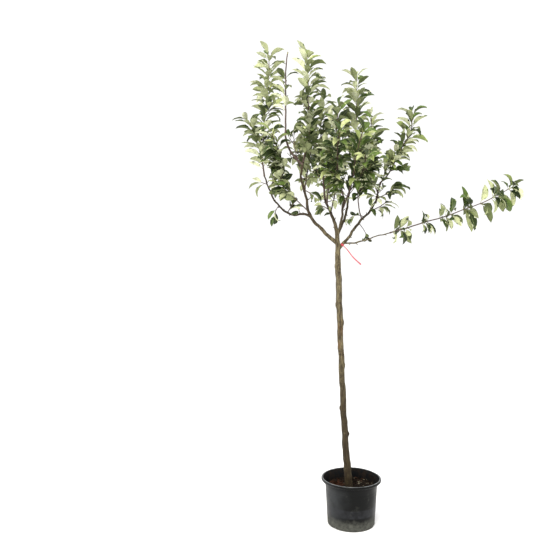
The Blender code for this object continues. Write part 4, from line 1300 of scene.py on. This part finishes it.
def build_group(name, members, walked, space, woods, leaf_kinds, settings):
    """One group of masses: its twigs and its leaves, each kind a joined piece."""
    lines, leaves = [], []
    for i, shoot in enumerate((*SHOOTS, *SPURS)):
        if shoot.name not in members:
            continue
        twigs, grown = grow(shoot, walked, space, settings, np.random.default_rng(settings.seed + i))
        lines.append((*spaced(*walked[shoot.name], STEM_RINGS), STEM_GREEN_FROM))
        lines += [(*spaced(path, limb_radii(limb), TWIG_RINGS), TWIG_GREEN_FROM) for limb, path in twigs]
        leaves += grown
    rng = np.random.default_rng(settings.seed + len(name))
    masses = [member for member in members if member in frame["nodes"]]
    new_piece(name + "_twigs", twig_mesh(name + "_twigs", lines), woods, "bark", *masses)
    mesh = leaf_mesh(name + "_leaves", leaves, deal_colours(leaves, rng), settings, rng)
    new_piece(name + "_leaves", mesh, leaf_kinds, "foliage", *masses)


# Pot, mix and strap

def wall_at(z):
    """The pot's outer radius at a height below its band."""
    return POT_BASE_RADIUS + (POT_TOP_RADIUS - POT_BASE_RADIUS) * z / POT_HEIGHT


def pot_profile():
    """The pot's section: up the inside, out over the sloping lip and the rolled rim, and down to the foot."""
    band_z = POT_HEIGHT - BAND_DROP
    rim_low = POT_HEIGHT - RIM_HEIGHT
    rim_x, rim_z = POT_RIM_RADIUS - ROLL_WIDTH / 2, POT_HEIGHT - RIM_HEIGHT / 2
    outside = [(rim_x + ROLL_WIDTH / 2 * cos(a), rim_z + RIM_HEIGHT / 2 * sin(a))
               for a in map(radians, ROLL_ANGLES)]
    outside += [(wall_at(rim_low), rim_low + ROLL_LAP), (wall_at(band_z + BAND_SLOPE), band_z + BAND_SLOPE),
                (wall_at(band_z) - BAND_DEPTH, band_z)]
    for z in RING_HEIGHTS:
        inset = BAND_DEPTH * z / band_z
        outside += [(wall_at(z + RING_WIDTH) - inset, z + RING_WIDTH), (wall_at(z) - inset - RING_DEPTH, z),
                    (wall_at(z - RING_WIDTH) - inset, z - RING_WIDTH)]
    foot_x = wall_at(FOOT_ROUND) - FOOT_ROUND
    outside += [(foot_x + FOOT_ROUND * cos(a), FOOT_ROUND - FOOT_ROUND * sin(a))
                for a in map(radians, FOOT_ANGLES)]
    inside = [(0, POT_FLOOR), (wall_at(0) - POT_WALL - FOOT_ROUND, POT_FLOOR),
              (wall_at(POT_FLOOR) - POT_WALL, POT_FLOOR + FOOT_ROUND),
              (wall_at(band_z) - POT_WALL - BAND_DEPTH, band_z),
              (wall_at(rim_low) - POT_WALL, rim_low + 1 * MM)]
    return [*inside, *outside, (0, 0)]


def spun(profile, steps):
    """A bmesh turned round Z from a profile whose two ends lie on the axis."""
    bm = bmesh.new()
    verts = [bm.verts.new((x, 0, z)) for x, z in profile]
    edges = [bm.edges.new(pair) for pair in zip(verts, verts[1:])]
    bmesh.ops.spin(bm, geom=[*verts, *edges], cent=(0, 0, 0), axis=(0, 0, 1), angle=tau, steps=steps,
                   use_merge=True)
    bmesh.ops.remove_doubles(bm, verts=bm.verts, dist=MERGED)
    bmesh.ops.recalc_face_normals(bm, faces=bm.faces)
    return bm


def pressed_in(point):
    """How far the rim is pushed inward at a point, by the knock at its back right."""
    turn = np.degrees(np.arctan2(point.y, point.x)) - DENT_ANGLE
    turn = (turn + 180) % 360 - 180
    height = max(0.0, 1 - (POT_HEIGHT - point.z) / DENT_REACH)
    return DENT_DEPTH * np.exp(-((turn / DENT_SPREAD) ** 2)) * height


def cutter_mesh():
    """The boxes and rods that cut the notches in the pot's foot and the holes in its floor."""
    bm = bmesh.new()
    for degrees in NOTCH_ANGLES:
        turn = Matrix.Rotation(radians(degrees), 4, "Z")
        size = Matrix.Diagonal((2 * NOTCH_DEPTH, NOTCH_WIDTH, 2 * NOTCH_HEIGHT, 1))
        bmesh.ops.create_cube(bm, size=1, matrix=turn @ Matrix.Translation((POT_BASE_RADIUS, 0, 0)) @ size)
    for degrees in DRAIN_ANGLES:
        turn = Matrix.Rotation(radians(degrees), 4, "Z")
        bmesh.ops.create_cone(bm, cap_ends=True, segments=DRAIN_SIDES, radius1=DRAIN_RADIUS,
                              radius2=DRAIN_RADIUS, depth=4 * POT_FLOOR,
                              matrix=turn @ Matrix.Translation((DRAIN_CIRCLE, 0, 0)))
    return plain_mesh("pot_cuts", bm)


def lies_inside(face):
    """Whether a face of the pot is on its inside, below the lip and turned inward or up."""
    flat = face.center.xy
    lip = POT_RIM_RADIUS - ROLL_WIDTH - 1 * MM
    low_enough = flat.length < lip and face.center.z > POT_FLOOR
    return low_enough and face.normal.z > -0.3 and flat.dot(face.normal.xy) <= 0


def build_pot(settings):
    """The pot: its section turned round, dented at the rim, cut at the foot, and soiled on the inside."""
    bm = spun(pot_profile(), settings.steps)
    for v in bm.verts:
        flat = Vector((v.co.x, v.co.y, 0))
        if flat.length > 0:
            v.co -= flat.normalized() * pressed_in(v.co)
    rough = put("pot_rough", plain_mesh("nursery_pot", bm))
    cutter = put("pot_cutter", cutter_mesh())
    cut = rough.modifiers.new("cuts", "BOOLEAN")
    cut.operation = "DIFFERENCE"
    cut.solver = "EXACT"
    cut.object = cutter
    done = bpy.data.meshes.new_from_object(rough.evaluated_get(bpy.context.evaluated_depsgraph_get()))
    for spent in (rough, cutter):
        bpy.data.objects.remove(spent)
    shade(done, 40)
    done.materials.clear()
    done.polygons.foreach_set("material_index", [int(lies_inside(face)) for face in done.polygons])
    skins = [moulded_polypropylene(settings), soiled_polypropylene(settings)]
    return new_piece("nursery_pot", done, skins, "pot_plastic", "pot")


def mix_height(x, y):
    """Height of the mix's surface: lumpy, and banked up towards the back."""
    lumps = sum(share * noise.noise(Vector((x * pitch, y * pitch, seed))) for pitch, seed, share in MIX_LUMPS)
    rise, sink = MIX_LEVEL
    return MIX_TOP + MIX_RELIEF * (rise * lumps - sink) + MIX_BANK * max(0.0, y)


def build_mix(settings):
    """The mix: a turned body whose top is lumpy, and loose bark chips scattered over it."""
    inset = POT_WALL + BAND_DEPTH + MIX_CLEAR
    rim = wall_at(MIX_TOP) - inset
    low = POT_FLOOR + MIX_SEAT
    top = [(rim * share, MIX_TOP) for share in np.linspace(0, 1, MIX_RINGS)]
    bm = spun([*top, (wall_at(0) - inset - FOOT_ROUND, low), (0, low)], MIX_STEPS)
    for v in bm.verts:
        if v.co.z > MIX_TOP - 1 * MM:
            v.co.z = mix_height(v.co.x, v.co.y)
    mesh = mesh_from_bmesh("mix_body", bm, smooth_to=60)
    new_piece("mix_body", mesh, [bark_and_peat(settings)], "potting_mix", "potting_mix")
    build_chips(settings, rim)


def chip_turn(rng):
    """How a chip lies: turned any way round, and tilted a little."""
    spin = Matrix.Rotation(rng.uniform(0, tau), 3, "Z") @ Matrix.Rotation(rng.normal(0, CHIP_TILT), 3, "Y")
    return np.array(spin @ Matrix.Rotation(rng.normal(0, CHIP_TILT), 3, "X"))


def chip_shares(x, y, rim):
    """The shares of damp, rusty and pale chips at a place on the mix."""
    if np.hypot(x - SPILL_AT[0], y - SPILL_AT[1]) < SPILL_CORE * SPILL_REACH:
        return CHIPS_SPILT
    return CHIPS_BACK if y > CHIPS_BACK_FROM * rim else CHIPS_FRONT


def build_chips(settings, rim):
    """Bark chips: flat broken flakes in three browns, dealt over the surface by seeded draws."""
    rng = np.random.default_rng(settings.chip_seed)
    corners = np.array([(x, y, z) for x in (-1, 1) for y in (-1, 1) for z in (-1, 1)], float)
    box = [(0, 1, 3, 2), (4, 6, 7, 5), (0, 4, 5, 1), (2, 3, 7, 6), (0, 2, 6, 4), (1, 5, 7, 3)]
    shortest, longest = CHIP_SIZES
    points, faces, slots = [], [], []
    for i in range(settings.chips):
        reach = rim * CHIP_SPREAD * np.sqrt(rng.uniform(0, 1))
        turn = rng.uniform(0, tau)
        x, y = reach * cos(turn), reach * sin(turn)
        long = shortest + (longest - shortest) * rng.uniform() ** CHIP_SKEW
        width = long * rng.uniform(*CHIP_WIDTHS)
        size = np.array((long, width, rng.uniform(*CHIP_THICKNESSES))) * MM / 2
        spin = chip_turn(rng)
        broken = corners * size * rng.uniform(*CHIP_BREAKS, (8, 3))
        centre = np.array((x, y, mix_height(x, y) + rng.uniform(*CHIP_SEATS) * CHIP_RISE))
        points.append(broken @ spin.T + centre)
        faces += [tuple(i * 8 + k for k in face) for face in box]
        slots += [int(rng.choice(3, p=chip_shares(x, y, rim)))] * len(box)
    mesh = mesh_from_arrays("bark_chips", np.vstack(points), faces, slots, smooth_to=25)
    kinds = [bark_chip("pine_bark_damp", settings.chip_dark),
             bark_chip("pine_bark_rusty", settings.chip_rust),
             bark_chip("pine_bark_pale", settings.chip_pale)]
    new_piece("bark_chips", mesh, kinds, "potting_mix")


def ribbon(bm, line, acrosses, widths, thick):
    """A closed flat strip along a line, extruded ring by ring from one rectangle."""
    ways = np.gradient(np.array(line), axis=0)
    ring = None
    for place, across, width, way in zip(line, acrosses, widths, ways):
        face_way = unit(np.cross(way, across))
        corners = [place + across * a * width / 2 + face_way * b * thick / 2
                   for a, b in ((-1, -1), (1, -1), (1, 1), (-1, 1))]
        if ring is None:
            ring = bm.faces.new([bm.verts.new(c) for c in corners])
            continue
        grown = bmesh.ops.extrude_face_region(bm, geom=[ring])["geom"]
        ring = next(item for item in grown if isinstance(item, bmesh.types.BMFace))
        for vert, corner in zip(ring.verts, corners):
            vert.co = corner


def wrapped_turns(bm, centre, aim, radius):
    """The strap's turns round the bough, each leaning its own way."""
    width = STRAP_WIDTH * TURN_WIDTH * MM
    across = np.array(aim @ Vector((0, 0, 1)))
    for lift, lean in STRAP_TURNS:
        line = []
        for t in np.linspace(0, tau, STRAP_RINGS):
            place = Vector((radius * cos(t), radius * sin(t), lift * MM + lean * radius * sin(t)))
            line.append(np.array(centre + aim @ place))
        ribbon(bm, line, [across] * len(line), [width] * len(line), STRAP_THICK * MM)


def pulled_knot(bm, at):
    """The strap's pulled knot: a creased ball, flattened in depth and height."""
    for v in bmesh.ops.create_icosphere(bm, subdivisions=3, radius=KNOT_RADIUS * MM)["verts"]:
        crease = 1 + KNOT_CRUMPLE[0] * noise.noise(v.co * KNOT_CRUMPLE[1])
        crease += KNOT_RIBS[0] * sin(v.co.z / MM * KNOT_RIBS[1])
        v.co = Vector((v.co.x, v.co.y * KNOT_SQUASH, v.co.z * KNOT_SQUASH)) * crease + Vector(at)


def flat_tail(bm, at):
    """The strap's tail: a strip that sways, and untwists and widens towards its free end."""
    heading, rise = radians(TAIL_HEADING), radians(TAIL_RISE)
    along = np.array((cos(rise) * cos(heading), cos(rise) * sin(heading), sin(rise)))
    level = unit(np.cross(along, TO_BACK))
    line, acrosses, widths = [], [], []
    for s in np.linspace(0, 1, STRAP_RINGS):
        sway = TO_BACK * TAIL_SWAY[0] * sin(s * TAIL_SWAY[1]) * MM
        sway = sway + level * TAIL_WAVE[0] * sin(s * TAIL_WAVE[1]) * MM
        line.append(at + along * s * TAIL_LENGTH * MM + sway)
        turn = TAIL_UNTWIST[0] * (1 - s) ** TAIL_UNTWIST[1] + TAIL_ROLL[0] * sin(TAIL_ROLL[1] * s)
        acrosses.append(unit(level * cos(turn) + TO_BACK * sin(turn)))
        widths.append((TAIL_WIDTHS[0] + (TAIL_WIDTHS[1] - TAIL_WIDTHS[0]) * s) * MM)
    ribbon(bm, line, acrosses, widths, STRAP_THICK * MM)


def build_strap(walked, settings):
    """The strap: a band round the right bough's foot, a pulled knot, and a long flat tail."""
    points, radii = walked["right_bough"]
    share = STRAP_PLACE / length_of("right_bough")
    centre = Vector(place_on(points, share))
    aim = (Vector(place_on(points, share + 0.02)) - centre).to_track_quat("Z", "Y").to_matrix()
    radius = radii[round(share * TUBE_STEPS)] + (STRAP_GAP + STRAP_THICK / 2) * MM
    knot_at = np.array(centre) + np.array((0, -radius - KNOT_RADIUS * MM / 3, -KNOT_RADIUS * MM / 3))
    bm = bmesh.new()
    wrapped_turns(bm, centre, aim, radius)
    pulled_knot(bm, knot_at)
    flat_tail(bm, knot_at)
    mesh = mesh_from_bmesh("red_strip", bm, smooth_to=40)
    return new_piece("red_strip", mesh, [thin_polythene(settings)], "strap_plastic", "red_strap")


# Stage

def point_at(thing, at, aim):
    """Stand a lamp or the camera at a place and point it at another."""
    thing.location = at
    thing.rotation_euler = (Vector(aim) - Vector(at)).to_track_quat("-Z", "Y").to_euler()


def add_lamp(name, at, aim, size, colour, watts):
    """A soft rectangular lamp."""
    lamp = bpy.data.lights.new(name, "AREA")
    lamp.shape = "RECTANGLE"
    lamp.size, lamp.size_y = size
    lamp.energy = watts
    lamp.color = linear(colour)
    point_at(put(name, lamp), at, aim)


def build_stage(settings):
    """A wide pale floor, a white room, three soft lamps and the camera."""
    bm = bmesh.new()
    bmesh.ops.create_grid(bm, x_segments=2, y_segments=2, size=settings.floor_size)
    mesh = plain_mesh("studio_floor", bm)
    mesh.materials.append(studio_paint("white_emulsion_floor", settings.floor_colour))
    floor = put("studio_floor", mesh)
    world = bpy.data.worlds.new("studio_room")
    world.use_nodes = True
    sky = world.node_tree.nodes["Background"]
    feed(world.node_tree, sky, {"Color": (1, 1, 1, 1), "Strength": settings.room})
    bpy.context.scene.world = world
    add_lamp(*KEY_LAMP, settings.key)
    for lamp in SIDE_LAMPS:
        add_lamp(*lamp, settings.fill)
    camera = bpy.data.cameras.new("photo_camera")
    camera.lens = LENS
    camera.sensor_width = SENSOR
    eye = put("photo_camera", camera)
    point_at(eye, CAMERA_AT, CAMERA_AIM)
    bpy.context.scene.camera = eye
    bpy.context.scene.view_settings.view_transform = "Standard"


# Settings, operators and panel

class PotSettings(PropertyGroup):
    """Sizes and colours of the pot, its mix and the strap."""

    steps: IntProperty(name="Steps", description="Faces round the pot", default=144, min=24)
    plastic: colour_property("Plastic", "Colour of the moulded plastic", "#060707")
    # Grey of the painted sheen at the pot's left front, also darkened for the plastic inside
    plastic_sheen: colour_property("Worn plastic", "Colour of the plastic where it is worn", "#2a2c2e")
    plastic_rubbed: colour_property("Rubbed band", "Colour of the band where stacked pots rub", "#26272b")
    # Grey of the painted highlight along the crest of the rim
    plastic_crest_highlight: colour_property("Scuffed rim", "Colour of the scuffed crest of the rim", "#8a8e90")
    dust: colour_property("Dust", "Colour of the dried splashes round the foot", "#53544e")
    damp: colour_property("Damp mix", "Colour of the mix where it is damp", "#0a0705")
    crumb: colour_property("Mix crumbs", "Colour of the mix's crumbs", "#1d1610")
    crumb_dry: colour_property("Dry crumbs", "Colour of the mix's drier patches", "#2a2017")
    rust: colour_property("Fresh bark", "Colour of the spill of fresher bark", "#3a2010")
    chip_dark: colour_property("Damp chips", "Colour of most bark chips", "#20170f")
    chip_rust: colour_property("Rusty chips", "Colour of the reddish bark chips", "#3f2415")
    chip_pale: colour_property("Pale chips", "Colour of the few dry chips", "#7c7665")
    chips: IntProperty(name="Chips", description="Number of loose bark chips", default=900, min=0)
    chip_seed: IntProperty(name="Chip seed", description="Seed of the chips' places", default=8)
    strap: colour_property("Strap", "Colour of the plastic strap", "#b32b37")
    strap_faded: colour_property("Faded strap", "Colour of the strap's dusty end", "#a85c66")


class WoodSettings(PropertyGroup):
    """Relief and colours of the bark."""

    relief: FloatProperty(name="Relief", description="How far the bark stands out, in millimetres",
                          default=0.55, min=0.0, max=3.0)
    bark: colour_property("Bark", "Colour of the stem's upper bark", "#6a6148")
    bark_low: colour_property("Lower bark", "Colour of the bark near the ground", "#3a311f")
    bark_crown: colour_property("Crown bark", "Colour of the boughs' bark", "#423829")
    bark_rust: colour_property("Rusty bark", "Colour of the stem's rusty stretch", "#5d4930")
    bark_dark: colour_property("Bark streaks", "Colour of the bark's streaks", "#241b12")
    bark_pale: colour_property("Bark pores", "Colour of the bark's pores", "#9a8f72")
    young: colour_property("Young shoots", "Colour of last year's shoots", "#3b2b27")
    young_flecks: colour_property("Shoot flecks", "Colour of the shoots' pores", "#695a51")
    green: colour_property("Green shoots", "Colour of this year's shoot tips", "#6f6a44")
    green_flecks: colour_property("Tip flecks", "Colour of the shoot tips' pores", "#8f8d60")


class LeafSettings(PropertyGroup):
    """Number, size and form of the leaves."""

    seed: IntProperty(name="Seed", description="Seed of the rule that grows the masses", default=SEED)
    pitch_share: FloatProperty(name="Pitch", description="Leaf spacing as a share of each shoot's pitch",
                               default=PITCH_SHARE, min=0.3, max=2.0)
    leaf_share: FloatProperty(name="Leaf length", description="Leaf length as a share of each shoot's own",
                              default=LEAF_SHARE, min=0.3, max=1.5)
    fold: FloatProperty(name="Fold", description="How steeply a leaf folds along its midrib, at most",
                        default=0.8, min=0.0, max=2.0)
    curl: FloatProperty(name="Curl", description="How far a leaf's tip turns down, at most, in radians",
                        default=1.0, min=0.0, max=3.0)


class StageSettings(PropertyGroup):
    """Floor, room and lamps."""

    floor_size: FloatProperty(name="Floor", description="Half the floor's side", default=12.0, min=1.0,
                              unit="LENGTH")
    floor_colour: colour_property("Floor colour", "Colour of the studio floor", "#ffffff")
    room: FloatProperty(name="Room", description="Brightness of the white room", default=1.08, min=0.0)
    key: FloatProperty(name="Key lamp", description="Power of the lamp high in front, in watts",
                       default=130.0, min=0.0)
    fill: FloatProperty(name="Side lamps", description="Power of each side lamp, in watts", default=18.0,
                        min=0.0)


class APPLE_TREE_OT_pot(Operator):
    """Build the nursery pot"""

    bl_idname = "apple_tree.pot"
    bl_label = "Pot"

    def execute(self, context):
        build_pot(context.scene.apple_tree_pot)
        return {"FINISHED"}


class APPLE_TREE_OT_mix(Operator):
    """Fill the pot with potting mix and bark chips"""

    bl_idname = "apple_tree.mix"
    bl_label = "Potting mix"

    def execute(self, context):
        build_mix(context.scene.apple_tree_pot)
        return {"FINISHED"}


class APPLE_TREE_OT_wood(Operator):
    """Build the bark of the trunk and of each bough"""

    bl_idname = "apple_tree.wood"
    bl_label = "Trunk and boughs"

    def execute(self, context):
        settings = context.scene.apple_tree_wood
        walked = walk_limbs()
        material = old_bark(settings)
        rng = np.random.default_rng(SEED)
        for limb in (TRUNK, *BOUGHS):
            build_limb(limb, walked, material, settings, rng)
        build_stubs(walked, material, rng)
        return {"FINISHED"}


class APPLE_TREE_OT_strap(Operator):
    """Tie the red strap round the right bough"""

    bl_idname = "apple_tree.strap"
    bl_label = "Strap"

    def execute(self, context):
        build_strap(walk_limbs(), context.scene.apple_tree_pot)
        return {"FINISHED"}


class APPLE_TREE_OT_foliage(Operator):
    """Grow the twigs and leaves of every mass"""

    bl_idname = "apple_tree.foliage"
    bl_label = "Twigs and leaves"

    def execute(self, context):
        settings = context.scene.apple_tree_leaves
        wood = context.scene.apple_tree_wood
        walked = walk_limbs()
        space = Space(walked)
        woods = [shoot_bark("apple_shoot_ripened", wood.young, wood.young_flecks),
                 shoot_bark("apple_shoot_green", wood.green, wood.green_flecks)]
        leaf_kinds = leaf_materials()
        for name, members in GROUPS.items():
            build_group(name, members, walked, space, woods, leaf_kinds, settings)
        return {"FINISHED"}


class APPLE_TREE_OT_stage(Operator):
    """Set up the floor, the lamps and the camera"""

    bl_idname = "apple_tree.stage"
    bl_label = "Stage"

    def execute(self, context):
        build_stage(context.scene.apple_tree_stage)
        return {"FINISHED"}


STEPS = (APPLE_TREE_OT_stage, APPLE_TREE_OT_pot, APPLE_TREE_OT_mix, APPLE_TREE_OT_wood,
         APPLE_TREE_OT_strap, APPLE_TREE_OT_foliage)


class APPLE_TREE_PT_panel(Panel):
    """List the tree's settings and the steps that build it"""

    bl_idname = "APPLE_TREE_PT_panel"
    bl_label = "Apple tree"
    bl_space_type = "VIEW_3D"
    bl_region_type = "UI"
    bl_category = "Apple tree"

    def draw(self, context):
        for group in SETTINGS:
            settings = getattr(context.scene, group)
            for name in settings.bl_rna.properties.keys():
                if name not in ("rna_type", "name"):
                    self.layout.prop(settings, name)
        for step in STEPS:
            self.layout.operator(step.bl_idname)


SETTINGS = {
    "apple_tree_pot": PotSettings,
    "apple_tree_wood": WoodSettings,
    "apple_tree_leaves": LeafSettings,
    "apple_tree_stage": StageSettings,
}
CLASSES = (*SETTINGS.values(), *STEPS, APPLE_TREE_PT_panel)


def register():
    """Register the classes and give the scene its settings."""
    for cls in CLASSES:
        bpy.utils.register_class(cls)
    for name, group in SETTINGS.items():
        setattr(bpy.types.Scene, name, PointerProperty(type=group))


def unregister():
    """Undo what register did."""
    for name in SETTINGS:
        delattr(bpy.types.Scene, name)
    for cls in reversed(CLASSES):
        bpy.utils.unregister_class(cls)


def main():
    """Build the stage and every piece."""
    register()
    bpy.ops.apple_tree.stage()
    bpy.ops.apple_tree.pot()
    bpy.ops.apple_tree.mix()
    bpy.ops.apple_tree.wood()
    bpy.ops.apple_tree.strap()
    bpy.ops.apple_tree.foliage()


if __name__ == "__main__":
    main()
